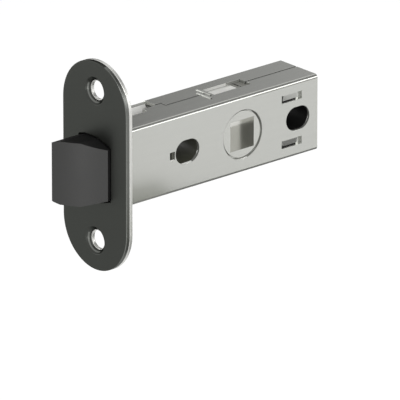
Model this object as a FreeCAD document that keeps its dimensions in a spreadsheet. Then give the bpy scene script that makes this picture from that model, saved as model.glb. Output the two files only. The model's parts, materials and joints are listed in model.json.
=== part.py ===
"""Tubular mortice latch: a sprung bevelled bolt in a folded steel case, drawn by a square follower.

Frame: origin at the centre of the faceplate's front face, +X into the door, +Y across the door,
+Z up. Lengths are in millimetres.
"""

import FreeCAD, Part
import math
import os
import Sketcher

from FreeCAD import Placement, Rotation, Vector

OUTPUT_FOLDER = "parts"
NORMAL_OF_PLANE = {"XY_Plane": 1, "XZ_Plane": -1, "YZ_Plane": 1}
TOLERANCE = 0.001
WIRE_SIDES = 6
SECTIONS_PER_TURN = 9
TURN_TO_X = Rotation(Vector(0, 1, 0), 90)
TURN_TO_Y = Rotation(Vector(1, 0, 0), -90)

SIZES = [
    # Faceplate and the backing plate behind it
    ("plate_length", 57.0),
    ("plate_width", 25.0),
    ("face_thickness", 1.1),
    ("backing_thickness", 1.0),
    ("plate_edge_break", 0.15),
    ("screw_spacing", 41.0),
    ("screw_hole_radius", 2.5),
    ("face_hole_radius", 2.7),
    ("countersink_radius", 3.7),
    # Folded case
    ("case_width", 15.2),
    ("case_height", 21.0),
    ("case_wall", 0.8),
    ("case_bend_radius", 0.95),
    ("case_end", 70.2),
    ("case_tab_height", 4.0),
    ("case_tab_level", 5.5),
    ("tab_clearance", 0.05),
    ("seam_side", 0.5),
    ("seam_gap", 0.18),
    ("tongue_start", 18.4),
    ("tongue_end", 24.7),
    ("tongue_width", 2.75),
    ("far_flange_start", 23.0),
    ("far_wall_top", 10.0),
    ("rib_start", 36.6),
    ("rib_width", 0.7),
    ("rib_pitch", 1.6),
    ("rib_rise", 0.3),
    ("rib_length", 5.8),
    ("rib_side", -3.5),
    ("rib_step", 2.0),
    # Lanced tongues that hold the rear spacer
    ("lance_start", 57.7),
    ("lance_end", 63.1),
    ("lance_window_end", 64.7),
    ("lance_slit", 0.3),
    ("lance_level", 6.25),
    ("lance_height", 2.1),
    ("locating_slot_start", 19.1),
    ("locating_slot_end", 20.8),
    ("locating_slot_height", 2.2),
    ("locating_slot_level", -0.2),
    # Bolt
    ("bolt_throw", 9.4),
    ("bolt_width", 12.0),
    ("bolt_top", 7.7),
    ("bolt_chamfer_width", 5.0),
    ("bolt_chamfer_drop", 1.7),
    ("bolt_far_chamfer_width", 2.2),
    ("bolt_far_chamfer_drop", 0.65),
    ("bolt_back", 8.0),
    ("bevel_radius", 28.5),
    ("bevel_near_rise", 0.7),
    ("nose_land", 0.5),
    ("aperture_clearance", 0.35),
    ("stop_gap", 0.15),
    ("slide_clearance", 0.1),
    # Tail that ties the bolt to the follower
    ("tail_thickness", 1.6),
    ("tail_bend_radius", 2.1),
    ("tail_end", 49.5),
    ("tail_near_side", -5.0),
    ("tail_far_side", 4.8),
    ("tail_waist_side", 0.2),
    ("tail_waist_start", 11.2),
    ("tail_waist_end", 33.0),
    ("arm_slot_length", 6.1),
    ("arm_free_play", 0.25),
    ("end_tab_thickness", 1.2),
    ("end_tab_drop", 1.2),
    # Follower
    ("backset", 44.2),
    ("spindle_square", 8.1),
    ("hub_tail_clearance", 0.6),
    ("collar_width", 0.8),
    ("boss_clearance", 0.1),
    ("cam_tail_clearance", 0.4),
    ("cam_near_side", 0.5),
    ("cam_thickness", 2.6),
    ("cam_flat_depth", 0.7),
    ("fit_clearance", 0.03),
    ("arm_past_tail", 1.3),
    ("arm_tip_radius", 1.0),
    ("arm_lean", 30.0),
    ("arm_side_clearance", 0.2),
    ("window_start", 39.6),
    ("window_end", 52.4),
    ("window_near_side", -1.6),
    ("window_far_side", 3.1),
    # Through-bolt spacers
    ("through_spacing", 38.2),
    ("through_length", 8.1),
    ("through_radius", 3.2),
    ("spacer_bore_clearance", 0.1),
    ("spacer_wall", 1.0),
    ("front_spacer_height", 9.2),
    ("rear_spacer_clearance", 0.48),
    ("rear_spacer_start", 57.9),
    ("lug_clearance", 0.1),
    ("lug_depth", 0.6),
    # Springs, guides and the closing plate
    ("spring_pocket_radius", 3.4),
    ("spring_pocket_depth", 9.0),
    ("spring_wire_radius", 0.3),
    ("spring_coil_radius", 2.75),
    ("spring_turns", 9.0),
    ("guide_radius", 1.9),
    ("guide_flange_radius", 3.3),
    ("guide_flange_thickness", 0.8),
    ("guide_stem_radius", 1.1),
    ("guide_tip_gap", 0.4),
    ("end_plate_thickness", 1.2),
    ("end_plate_inset", 0.4),
    ("tail_spring_wire_radius", 0.22),
    ("tail_spring_coil_radius", 1.14),
    ("tail_spring_turns", 10.0),
    ("tail_spring_side", 1.2),
    ("tail_guide_radius", 0.7),
    ("tail_guide_reach", 9.0),
    ("contact_gap", 0.05),
    # Rivets between bolt and tail
    ("rivet_radius", 1.0),
    ("rivet_head_radius", 1.4),
    ("rivet_head_height", 0.7),
    ("rivet_depth", 4.0),
    ("rivet_offset", 4.95),
    # How far a cutting shape runs past the metal, and joined shapes run into each other
    ("over_cut", 1.0),
    ("overlap", 0.2),
]

# Places that several pieces share, each worked out from the driving sizes
DERIVED = [
    ("plate_stack", "face_thickness + backing_thickness"),
    ("case_half_width", "case_width / 2"),
    ("case_half_height", "case_height / 2"),
    ("inner_half_width", "case_half_width - case_wall"),
    ("inner_half_height", "case_half_height - case_wall"),
    ("slide_half_height", "inner_half_height - slide_clearance"),
    ("slide_half_width", "inner_half_width - slide_clearance"),
    ("bolt_bottom", "-slide_half_height"),
    ("bolt_axis", "(bolt_top + bolt_bottom) / 2"),
    ("tail_inner_level", "slide_half_height - tail_thickness"),
    ("hub_radius", "tail_inner_level - hub_tail_clearance"),
    ("boss_radius", "hub_radius - collar_width"),
    ("cam_radius", "tail_inner_level - cam_tail_clearance"),
    ("cam_flat", "boss_radius - cam_flat_depth"),
    ("arm_reach", "tail_inner_level + arm_past_tail"),
    ("tail_web_back", "bolt_back + tail_thickness"),
    ("front_hole", "backset - through_spacing / 2"),
    ("rear_hole", "backset + through_spacing / 2"),
    ("cam_far_side", "cam_near_side + cam_thickness"),
    ("shoulder",
     "backset - tail_inner_level * tan(arm_lean * 1deg) + arm_tip_radius / cos(arm_lean * 1deg)"
     " + arm_free_play"),
    ("front_spacer_start", "front_hole - through_length / 2 - spacer_wall - spacer_bore_clearance"),
    ("front_spacer_end", "front_hole + through_length / 2 + spacer_wall + spacer_bore_clearance"),
    ("end_plate_back", "case_end - end_plate_inset"),
    ("end_plate_front", "end_plate_back - end_plate_thickness"),
    ("rear_spacer_end", "end_plate_front - contact_gap"),
    ("tail_spring_level", "slide_half_height - tail_spring_coil_radius - tail_spring_wire_radius"),
    ("rear_spacer_half",
     "tail_spring_level - tail_spring_coil_radius - tail_spring_wire_radius - rear_spacer_clearance"),
    ("spring_seat", "front_spacer_start - contact_gap - guide_flange_thickness"),
]

doc = FreeCAD.newDocument("TubularLatch")
sheet = doc.addObject("Spreadsheet::Sheet", "Sizes")


def in_sheet(expression):
    """Prefix every alias in an expression with the sheet's name."""
    words = []
    word = ""
    for letter in str(expression) + " ":
        if letter.isalnum() or letter == "_":
            word += letter
            continue
        words.append(f"Sizes.{word}" if word in ALIASES else word)
        words.append(letter)
        word = ""
    return "".join(words).strip()


def value(expression):
    """Number that an expression has now."""
    result = sheet.evalExpression(in_sheet(expression))
    return float(getattr(result, "Value", result))


def bind(item, prop, expression):
    """Tie a property to the sheet."""
    item.setExpression(prop, in_sheet(expression))


ALIASES = {name for name, _ in SIZES} | {name for name, _ in DERIVED}


def fill_sheet():
    """Write the driving sizes and the places worked out from them."""
    row = 0
    for name, number in SIZES:
        row += 1
        sheet.set(f"A{row}", name)
        sheet.set(f"B{row}", str(number))
        sheet.setAlias(f"B{row}", name)
    for name, formula in DERIVED:
        row += 1
        sheet.set(f"A{row}", name)
        sheet.set(f"B{row}", f"={formula}")
        sheet.setAlias(f"B{row}", name)
    doc.recompute()


fill_sheet()


def block(name, across_x, across_y, across_z):
    """Box between a start and an end expression on each axis."""
    box = doc.addObject("Part::Box", name)
    spans = (("x", "Length", across_x), ("y", "Width", across_y), ("z", "Height", across_z))
    for axis, length, (low, high) in spans:
        bind(box, f"Placement.Base.{axis}", low)
        bind(box, length, f"({high}) - ({low})")
    return box


def rod(name, axis, radius, span, centre):
    """Cylinder along X or Y between two expressions, with its centre given on the other axes."""
    pin = doc.addObject("Part::Cylinder", name)
    pin.Placement = Placement(Vector(), TURN_TO_X if axis == "x" else TURN_TO_Y)
    bind(pin, "Radius", radius)
    bind(pin, "Height", f"({span[1]}) - ({span[0]})")
    bind(pin, f"Placement.Base.{axis}", span[0])
    for other, place in zip("yz" if axis == "x" else "xz", centre):
        bind(pin, f"Placement.Base.{other}", place)
    return pin


def join(name, pieces):
    """Union of several shapes."""
    union = doc.addObject("Part::MultiFuse", name)
    union.Shapes = pieces
    union.Refine = True
    return union


def remove(name, base, tools):
    """Base less every tool."""
    result = doc.addObject("Part::Cut", name)
    result.Base = base
    result.Tool = tools[0] if len(tools) == 1 else join(f"{name}_tools", tools)
    result.Refine = True
    return result


def group(name, pieces):
    """Separate solids that share one node."""
    bundle = doc.addObject("Part::Compound", name)
    bundle.Links = pieces
    return bundle


def label(item, name):
    """Name the finished sub-part: the label is its file's name."""
    item.Label = name
    return item


def fix_point(sketch, geometry, end, place):
    """Tie a sketch point to two expressions, measured from the sketch's origin."""
    for kind, expression in zip(("DistanceX", "DistanceY"), place):
        index = sketch.addConstraint(
            Sketcher.Constraint(kind, -1, 1, geometry, end, value(expression)))
        bind(sketch, f"Constraints[{index}]", expression)


def fix_radius(sketch, geometry, expression):
    """Tie an arc's or a circle's radius to an expression."""
    index = sketch.addConstraint(Sketcher.Constraint("Radius", geometry, value(expression)))
    bind(sketch, f"Constraints[{index}]", expression)


def arc_between(start, end, radius, clockwise):
    """Arc geometry through two points, and whether it runs backwards from end to start."""
    chord = end - start
    rise = math.sqrt(max(radius ** 2 - (chord.Length / 2) ** 2, 0.0))
    side = Vector(-chord.y, chord.x, 0).normalize() * (-rise if clockwise else rise)
    centre = start + chord / 2 + side
    first, last = (end, start) if clockwise else (start, end)
    low = math.atan2(first.y - centre.y, first.x - centre.x)
    high = math.atan2(last.y - centre.y, last.x - centre.x)
    if high < low:
        high += 2 * math.pi
    return Part.ArcOfCircle(Part.Circle(centre, Vector(0, 0, 1), radius), low, high)


def draw_outline(sketch, corners):
    """Closed outline of lines and arcs.

    Each corner is (u, v) for a line to it, or (u, v, radius, clockwise) for an arc to it.
    """
    places = [Vector(value(corner[0]), value(corner[1]), 0) for corner in corners]
    ends = []
    for number, corner in enumerate(corners):
        start, end = places[number - 1], places[number]
        if len(corner) == 2:
            ends.append((sketch.addGeometry(Part.LineSegment(start, end), False), 1, 2))
            continue
        arc = sketch.addGeometry(arc_between(start, end, value(corner[2]), corner[3]), False)
        ends.append((arc, 2, 1) if corner[3] else (arc, 1, 2))
    for number, corner in enumerate(corners):
        geometry, _, finish = ends[number]
        following, begin, _ = ends[(number + 1) % len(corners)]
        sketch.addConstraint(Sketcher.Constraint("Coincident", geometry, finish, following, begin))
        fix_point(sketch, geometry, finish, corner[:2])
        if len(corner) > 2:
            fix_radius(sketch, geometry, corner[2])


def draw_stadium(sketch, centre, half_straight, radius, upright):
    """Slot outline with round ends, its straight sides along v when upright and along u otherwise."""
    middle = Vector(value(centre[0]), value(centre[1]), 0)
    along = Vector(0, 1, 0) if upright else Vector(1, 0, 0)
    outward = Vector(along.y, -along.x, 0)
    reach, size = value(half_straight), value(radius)
    turn = math.atan2(outward.y, outward.x)
    far_end, near_end = middle + along * reach, middle - along * reach
    top = Part.ArcOfCircle(Part.Circle(far_end, Vector(0, 0, 1), size), turn, turn + math.pi)
    low = Part.ArcOfCircle(Part.Circle(near_end, Vector(0, 0, 1), size), turn + math.pi, turn + 2 * math.pi)
    right = Part.LineSegment(near_end + outward * size, far_end + outward * size)
    left = Part.LineSegment(far_end - outward * size, near_end - outward * size)
    chain = [sketch.addGeometry(item, False) for item in (top, left, low, right)]
    for number in range(4):
        pair = (chain[number], 2, chain[(number + 1) % 4], 1)
        sketch.addConstraint(Sketcher.Constraint("Tangent", *pair))
    sketch.addConstraint(Sketcher.Constraint("Equal", chain[0], chain[2]))
    shift = (f" + ({half_straight})", f" - ({half_straight})")
    for geometry, step in zip((chain[0], chain[2]), shift):
        place = [f"({centre[0]})", f"({centre[1]})"]
        place[1 if upright else 0] += step
        fix_point(sketch, geometry, 3, place)
    fix_radius(sketch, chain[0], radius)


def draw_rounded_rectangle(sketch, half_u, half_v, radius):
    """Rectangle centred on the sketch's origin, with round corners."""
    corners = []
    for across, up in ((1, 1), (-1, 1), (-1, -1), (1, -1)):
        first = (f"{across} * ({half_u})", f"{up} * (({half_v}) - ({radius}))")
        second = (f"{across} * (({half_u}) - ({radius}))", f"{up} * ({half_v})")
        if across * up > 0:
            corners += [first, second + (radius, False)]
        else:
            corners += [second, first + (radius, False)]
    draw_outline(sketch, corners)


def new_sketch(body, name, plane, level):
    """Sketch on one of the body's origin planes, moved along its normal to a level."""
    sketch = body.newObject("Sketcher::SketchObject", name)
    origin_plane = next(item for item in body.Origin.OriginFeatures if item.Role == plane)
    sketch.AttachmentSupport = [(origin_plane, "")]
    sketch.MapMode = "FlatFace"
    bind(sketch, "AttachmentOffset.Base.z", f"{NORMAL_OF_PLANE[plane]} * ({level})")
    doc.recompute()
    return sketch


def padded(name, plane, span, draw):
    """Body with one padded sketch between two levels across its plane."""
    body = doc.addObject("PartDesign::Body", name)
    start = span[0] if NORMAL_OF_PLANE[plane] > 0 else span[1]
    sketch = new_sketch(body, f"{name}_outline", plane, start)
    draw(sketch)
    doc.recompute()
    pad = body.newObject("PartDesign::Pad", f"{name}_pad")
    pad.Profile = sketch
    bind(pad, "Length", f"({span[1]}) - ({span[0]})")
    body.Tip = pad
    doc.recompute()
    return body


def pocketed(body, name, plane, level, length, draw):
    """Cut a sketch into a body, from a level on towards the plane's positive side."""
    sketch = new_sketch(body, f"{name}_outline", plane, level)
    draw(sketch)
    doc.recompute()
    before = body.Shape.Volume
    pocket = body.newObject("PartDesign::Pocket", name)
    pocket.Profile = sketch
    bind(pocket, "Length", length)
    pocket.Reversed = True
    body.Tip = pocket
    doc.recompute()
    if body.Shape.Volume >= before:
        raise RuntimeError(f"{name} removed nothing")
    return pocket


def bolt_section(clearance):
    """Corners of the bolt's section in Y and Z, grown by a clearance."""
    side = f"(bolt_width / 2 + {clearance})"
    top = f"(bolt_top + {clearance})"
    bottom = f"(bolt_bottom - {clearance})"
    near, far = "(bolt_width / 2 - bolt_chamfer_width)", "(bolt_width / 2 - bolt_far_chamfer_width)"
    return [
        (f"-{side}", f"{bottom} + bolt_chamfer_drop"),
        (f"-{near}", bottom),
        (far, bottom),
        (side, f"{bottom} + bolt_far_chamfer_drop"),
        (side, f"{top} - bolt_far_chamfer_drop"),
        (far, top),
        (f"-{near}", top),
        (f"-{side}", f"{top} - bolt_chamfer_drop"),
    ]


def plate_stock(name, span):
    """Round-ended plate with the opening that the bolt passes through."""
    body = padded(name, "YZ_Plane", span, lambda sketch: draw_stadium(
        sketch, ("0", "0"), "(plate_length - plate_width) / 2", "plate_width / 2", True))
    pocketed(body, f"{name}_aperture", "YZ_Plane", span[0], f"({span[1]}) - ({span[0]})",
             lambda sketch: draw_outline(sketch, bolt_section("aperture_clearance")))
    return body


def break_outer_edges(body, name, levels):
    """Chamfer the plate's rim where it meets each level."""
    rim = []
    for number, edge in enumerate(body.Shape.Edges, start=1):
        box = edge.BoundBox
        outside = max(abs(box.YMin), abs(box.YMax)) > value("plate_width / 2") - TOLERANCE
        flat = box.XLength < TOLERANCE and any(abs(box.XMin - level) < TOLERANCE for level in levels)
        if outside and flat:
            rim.append(f"Edge{number}")
    base = body.Tip
    chamfer = body.newObject("PartDesign::Chamfer", name)
    chamfer.Base = (base, rim)
    bind(chamfer, "Size", "plate_edge_break")
    body.Tip = chamfer
    doc.recompute()


def make_faceplate():
    """Outer plate with two countersunk screw holes."""
    body = plate_stock("faceplate_body", ("0", "face_thickness"))
    break_outer_edges(body, "faceplate_rim", (0.0, value("face_thickness")))
    tools = []
    for number, side in enumerate((1, -1)):
        level = f"{side} * screw_spacing / 2"
        tools.append(rod(f"face_hole_{number}", "x", "face_hole_radius",
                         ("-over_cut", "face_thickness + over_cut"), ("0", level)))
        sink = doc.addObject("Part::Cone", f"countersink_{number}")
        sink.Placement = Placement(Vector(), TURN_TO_X)
        bind(sink, "Radius1", "countersink_radius")
        bind(sink, "Radius2", "face_hole_radius")
        bind(sink, "Height", "countersink_radius - face_hole_radius")
        bind(sink, "Placement.Base.z", level)
        tools.append(sink)
    return label(remove("faceplate_cut", body, tools), "faceplate")


def make_backing_plate():
    """Inner plate that the case's tabs are staked into."""
    span = ("face_thickness", "plate_stack")
    body = plate_stock("backing_body", span)
    break_outer_edges(body, "backing_rim", (value("face_thickness"), value("plate_stack")))
    tools = []
    for number, side in enumerate((1, -1)):
        tools.append(rod(f"backing_hole_{number}", "x", "screw_hole_radius",
                         ("face_thickness - over_cut", "plate_stack + over_cut"),
                         ("0", f"{side} * screw_spacing / 2")))
        level = f"{side} * case_tab_level"
        half = "(case_tab_height / 2 + tab_clearance)"
        tools.append(block(f"tab_slot_{number}", ("face_thickness - over_cut", "plate_stack + over_cut"),
                           ("-case_half_width - tab_clearance", "case_half_width + tab_clearance"),
                           (f"{level} - {half}", f"{level} + {half}")))
    keep = block("tab_slot_keep", ("face_thickness - 2 * over_cut", "plate_stack + 2 * over_cut"),
                 ("-bolt_width / 2", "bolt_width / 2"),
                 ("-case_half_height", "case_half_height"))
    slots = remove("tab_slots", join("tab_slots_all", [tools[1], tools[3]]), [keep])
    return label(remove("backing_cut", body, [tools[0], tools[2], slots]), "backing_plate")


def through_slot(name, centre, radius, half_depth):
    """Long hole across the case for a handle's through-bolt."""
    return padded(name, "XZ_Plane", (f"-({half_depth})", half_depth), lambda sketch: draw_stadium(
        sketch, (centre, "0"), "through_length / 2 - through_radius", radius, False))


def seam_tools():
    """Cuts of the folded seam along the case's top, with its interlocking tongue."""
    up = ("inner_half_height - overlap", "case_half_height + over_cut")
    seam = ("seam_side", "seam_side + seam_gap")
    tongue_side = "seam_side + tongue_width"
    return [
        block("far_front_cut", ("plate_stack - over_cut", "tongue_start"),
              (seam[0], "inner_half_width"), up),
        block("far_flange_cut", ("tongue_start - overlap", "far_flange_start"),
              (tongue_side, "inner_half_width"), up),
        block("far_bend_cut", ("plate_stack - over_cut", "far_flange_start"),
              ("inner_half_width - overlap", "case_half_width + over_cut"),
              ("far_wall_top", "case_half_height + over_cut")),
        block("tongue_side_slit", ("far_flange_start - overlap", "tongue_end + seam_gap"),
              (tongue_side, f"{tongue_side} + seam_gap"), up),
        block("tongue_end_slit", ("tongue_end", "tongue_end + seam_gap"),
              (seam[0], f"{tongue_side} + seam_gap"), up),
        block("seam_slit", ("tongue_end", "case_end + over_cut"), seam, up),
    ]


def lance_tools():
    """Slits and windows of the four lanced tongues near the case's rear end."""
    tools = []
    for side in (1, -1):
        depth = ("inner_half_width - overlap", "case_half_width + over_cut")
        if side < 0:
            depth = ("-case_half_width - over_cut", "overlap - inner_half_width")
        for up in (1, -1):
            name = f"lance_{'far' if side > 0 else 'near'}_{'upper' if up > 0 else 'lower'}"
            centre = f"({up} * lance_level)"
            low = f"{centre} - lance_height / 2"
            high = f"{centre} + lance_height / 2"
            tools += [
                block(f"{name}_window", ("lance_end", "lance_window_end"), depth, (low, high)),
                block(f"{name}_front", ("lance_start", "lance_start + lance_slit"), depth, (low, high)),
                block(f"{name}_under", ("lance_start", "lance_end + overlap"), depth,
                      (low, f"{low} + lance_slit")),
            ]
    return tools


def make_case():
    """Folded sheet case with its seam on top, windows and front tabs."""
    def section(sketch):
        draw_rounded_rectangle(sketch, "case_half_width", "case_half_height", "case_bend_radius")
        draw_rounded_rectangle(sketch, "inner_half_width", "inner_half_height",
                               "case_bend_radius - case_wall")

    tube = padded("case_tube", "YZ_Plane", ("plate_stack", "case_end"), section)
    tools = seam_tools() + lance_tools()
    for name, centre in (("front_hole_cut", "front_hole"), ("rear_hole_cut", "rear_hole")):
        tools.append(through_slot(name, centre, "through_radius", "case_half_width + over_cut"))
    tools.append(rod("follower_bore", "y", "boss_radius + boss_clearance",
                     ("-case_half_width - over_cut", "case_half_width + over_cut"), ("backset", "0")))
    tools.append(block("locating_slot", ("locating_slot_start", "locating_slot_end"),
                       ("-case_half_width - over_cut", "overlap - inner_half_width"),
                       ("locating_slot_level - locating_slot_height / 2",
                        "locating_slot_level + locating_slot_height / 2")))
    for name, span in (("top_window", ("inner_half_height - overlap", "case_half_height + over_cut")),
                       ("bottom_window", ("-case_half_height - over_cut", "overlap - inner_half_height"))):
        tools.append(block(name, ("window_start", "window_end"),
                           ("window_near_side", "window_far_side"), span))
    shell = remove("case_shell", tube, tools)
    extras = []
    for number in (0, 1):
        start = f"rib_start + {number} * rib_pitch"
        side = f"rib_side + {number} * rib_step"
        extras.append(block(f"seam_rib_{number}", (start, f"{start} + rib_width"),
                            (side, f"{side} + rib_length"),
                            ("case_half_height - case_wall / 2", "case_half_height + rib_rise")))
    for number, (side, up) in enumerate(((1, 1), (1, -1), (-1, 1), (-1, -1))):
        walls = ("inner_half_width", "case_half_width") if side > 0 else (
            "-case_half_width", "-inner_half_width")
        level = f"({up} * case_tab_level)"
        extras.append(block(f"case_tab_{number}",
                            ("face_thickness + contact_gap", "plate_stack + overlap"), walls,
                            (f"{level} - case_tab_height / 2", f"{level} + case_tab_height / 2")))
    return label(join("case_whole", [shell] + extras), "case")


def rivet_place(side):
    """Centre of a tail rivet in Y and Z: one lies above the spring's bore, the other below it."""
    return "0", f"bolt_axis + {side} * rivet_offset"


def make_latch_bolt():
    """Bevelled bolt head with a guide block behind the plate and a pocket for its spring."""
    nose = padded("bolt_nose", "YZ_Plane", ("-bolt_throw", "bolt_back"),
                  lambda sketch: draw_outline(sketch, bolt_section("0")))
    guide = block("bolt_guide", ("plate_stack + stop_gap", "bolt_back"),
                  ("-slide_half_width", "slide_half_width"),
                  ("-slide_half_height", "slide_half_height"))
    nose_side = "(bolt_width / 2 - nose_land)"
    bevel = [
        ("-bolt_throw", nose_side),
        ("-bevel_near_rise", "-bolt_width / 2", "bevel_radius", False),
        ("-bevel_near_rise", "-bolt_width / 2 - over_cut"),
        ("-bolt_throw - over_cut", "-bolt_width / 2 - over_cut"),
        ("-bolt_throw - over_cut", nose_side),
    ]
    waste = padded("bevel_waste", "XY_Plane", ("bolt_bottom - over_cut", "bolt_top + over_cut"),
                   lambda sketch: draw_outline(sketch, bevel))
    pocket = rod("spring_pocket", "x", "spring_pocket_radius",
                 ("bolt_back - spring_pocket_depth", "bolt_back + over_cut"), ("0", "bolt_axis"))
    holes = [rod(f"rivet_hole_{number}", "x", "rivet_radius + fit_clearance",
                 ("bolt_back - rivet_depth - contact_gap", "bolt_back + over_cut"),
                 rivet_place(side)) for number, side in enumerate((1, -1))]
    return label(remove("bolt_cut", join("bolt_stock", [nose, guide]), [waste, pocket] + holes),
                 "latch_bolt")


def make_bolt_tail():
    """Steel strip folded into a U: its web is riveted to the bolt, its arms run to the follower."""
    outer, inner = "slide_half_height", "tail_inner_level"
    bend = "bolt_back + tail_bend_radius"
    small = "(tail_bend_radius - tail_thickness)"
    profile = [
        ("tail_end", outer),
        (bend, outer),
        ("bolt_back", f"{outer} - tail_bend_radius", "tail_bend_radius", False),
        ("bolt_back", f"tail_bend_radius - {outer}"),
        (bend, f"-{outer}", "tail_bend_radius", False),
        ("tail_end", f"-{outer}"),
        ("tail_end", f"-{inner}"),
        (bend, f"-{inner}"),
        ("tail_web_back", f"{small} - {inner}", small, True),
        ("tail_web_back", f"{inner} - {small}"),
        (bend, inner, small, True),
        ("tail_end", inner),
    ]
    strip = padded("tail_strip", "XZ_Plane", ("tail_near_side", "tail_far_side"),
                   lambda sketch: draw_outline(sketch, profile))
    tabs = [block(f"end_tab_{number}", ("tail_end - end_tab_thickness", "tail_end"),
                  ("tail_near_side", "tail_far_side"), span)
            for number, span in enumerate((
                ("tail_inner_level - end_tab_drop", "tail_inner_level + overlap"),
                ("-tail_inner_level - overlap", "end_tab_drop - tail_inner_level")))]
    waist = block("tail_waist", ("tail_waist_start", "tail_waist_end"),
                  ("tail_waist_side", "tail_far_side + over_cut"), ("-case_half_height", "case_half_height"))
    slot = block("arm_slot", ("shoulder - arm_slot_length", "shoulder"),
                 ("cam_near_side - arm_side_clearance", "cam_far_side + arm_side_clearance"),
                 ("-case_half_height", "case_half_height"))
    bore = rod("tail_spring_bore", "x", "spring_pocket_radius + slide_clearance",
               ("bolt_back - over_cut", "tail_web_back + over_cut"), ("0", "bolt_axis"))
    holes = [rod(f"tail_rivet_hole_{number}", "x", "rivet_radius + fit_clearance",
                 ("bolt_back - over_cut", "tail_web_back + over_cut"),
                 rivet_place(side)) for number, side in enumerate((1, -1))]
    stock = join("tail_stock", [strip] + tabs)
    return label(remove("tail_cut", stock, [waist, slot, bore] + holes), "bolt_tail")


def make_tail_rivets():
    """Two rivets that hold the tail's web to the bolt."""
    rivets = []
    for number, side in enumerate((1, -1)):
        place = rivet_place(side)
        shank = rod(f"rivet_shank_{number}", "x", "rivet_radius",
                    ("bolt_back - rivet_depth", "tail_web_back + rivet_head_height / 2"), place)
        head = rod(f"rivet_head_{number}", "x", "rivet_head_radius",
                   ("tail_web_back", "tail_web_back + rivet_head_height"), place)
        rivets.append(join(f"rivet_{number}", [shank, head]))
    return label(group("rivet_pair", rivets), "tail_rivets")


def coil(name, wire_radius, coil_radius, turns, start, end, side, level):
    """Compression spring along X between two seats, its wire lofted through sections along a helix."""
    wire, mean = value(wire_radius), value(coil_radius)
    height = value(end) - value(start) - 2 * wire
    slope = math.atan2(height, value(turns) * 2 * math.pi * mean)
    steps = round(value(turns) * SECTIONS_PER_TURN)
    sections = []
    for step in range(steps + 1):
        turn = 2 * math.pi * value(turns) * step / steps
        outward = Vector(math.cos(turn), math.sin(turn), 0)
        across = outward.cross(Vector(0, 0, 1)) * math.sin(slope) + Vector(0, 0, math.cos(slope))
        centre = outward * mean + Vector(0, 0, height * step / steps)
        angles = [2 * math.pi * corner / WIRE_SIDES for corner in range(WIRE_SIDES)]
        rim = [centre + (outward * math.cos(a) + across * math.sin(a)) * wire for a in angles]
        sections.append(Part.makePolygon(rim + rim[:1]))
    spring = doc.addObject("Part::Feature", name)
    spring.Shape = Part.makeLoft(sections, True, True)
    spring.Placement = Placement(Vector(value(start) + wire, value(side), value(level)), TURN_TO_X)
    return spring


def make_bolt_spring():
    """Main spring between the bolt's pocket and the flange of its guide."""
    return label(coil("main_coil", "spring_wire_radius", "spring_coil_radius", "spring_turns",
                      "bolt_back - spring_pocket_depth + contact_gap",
                      "spring_seat - contact_gap", "0", "bolt_axis"), "bolt_spring")


def make_spring_guide():
    """Flanged rod inside the main spring, with its stem in the front spacer."""
    place = ("0", "bolt_axis")
    tip = "bolt_back - spring_pocket_depth + bolt_throw + guide_tip_gap"
    flange = ("spring_seat", "spring_seat + guide_flange_thickness")
    pieces = [
        rod("guide_rod", "x", "guide_radius", (tip, "spring_seat + overlap"), place),
        rod("guide_flange", "x", "guide_flange_radius", flange, place),
        rod("guide_stem", "x", "guide_stem_radius",
            ("spring_seat + overlap", "front_spacer_start + spacer_wall - contact_gap"), place),
    ]
    return label(join("guide_whole", pieces), "spring_guide")


def make_front_spacer():
    """Moulded block round the front through-hole, located by a lug in the case's near wall."""
    half = "front_spacer_height / 2"
    stock = block("front_spacer_block", ("front_spacer_start", "front_spacer_end"),
                  ("-slide_half_width", "slide_half_width"), (f"-{half}", half))
    lug = block("front_spacer_lug", ("front_spacer_start", "locating_slot_end - lug_clearance"),
                ("-slide_half_width - lug_depth", "overlap - slide_half_width"),
                ("locating_slot_level - locating_slot_height / 2 + lug_clearance",
                 "locating_slot_level + locating_slot_height / 2 - lug_clearance"))
    bore = through_slot("front_spacer_bore", "front_hole", "through_radius + spacer_bore_clearance",
                        "case_half_width")
    socket = rod("guide_socket", "x", "guide_stem_radius + fit_clearance",
                 ("front_spacer_start - over_cut", "front_spacer_start + spacer_wall"), ("0", "bolt_axis"))
    return label(remove("front_spacer_cut", join("front_spacer_stock", [stock, lug]),
                        [bore, socket]), "front_spacer")


def make_rear_spacer():
    """Moulded block round the rear through-hole."""
    half = "rear_spacer_half"
    stock = block("rear_spacer_block", ("rear_spacer_start", "rear_spacer_end"),
                  ("-slide_half_width", "slide_half_width"), (f"-{half}", half))
    bore = through_slot("rear_spacer_bore", "rear_hole", "through_radius + spacer_bore_clearance",
                        "case_half_width")
    return label(remove("rear_spacer_cut", stock, [bore]), "rear_spacer")


def make_end_plate():
    """Plate that closes the case's rear end."""
    return label(block("end_plate_block", ("end_plate_front", "end_plate_back"),
                       ("-slide_half_width", "slide_half_width"),
                       ("-slide_half_height", "slide_half_height")), "end_plate")


def make_tail_springs():
    """Two return springs between the tail's end tabs and the end plate."""
    springs = [coil(f"tail_coil_{number}", "tail_spring_wire_radius", "tail_spring_coil_radius",
                    "tail_spring_turns", "tail_end + contact_gap", "end_plate_front - contact_gap",
                    "tail_spring_side", f"{side} * tail_spring_level")
               for number, side in enumerate((1, -1))]
    return label(group("tail_spring_pair", springs), "tail_springs")


def make_spring_pins():
    """Two pins on the end plate that keep the return springs straight."""
    pins = [rod(f"spring_pin_{number}", "x", "tail_guide_radius",
                ("end_plate_front - tail_guide_reach", "end_plate_front"),
                ("tail_spring_side", f"{side} * tail_spring_level"))
            for number, side in enumerate((1, -1))]
    return label(group("spring_pin_pair", pins), "spring_pins")


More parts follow.
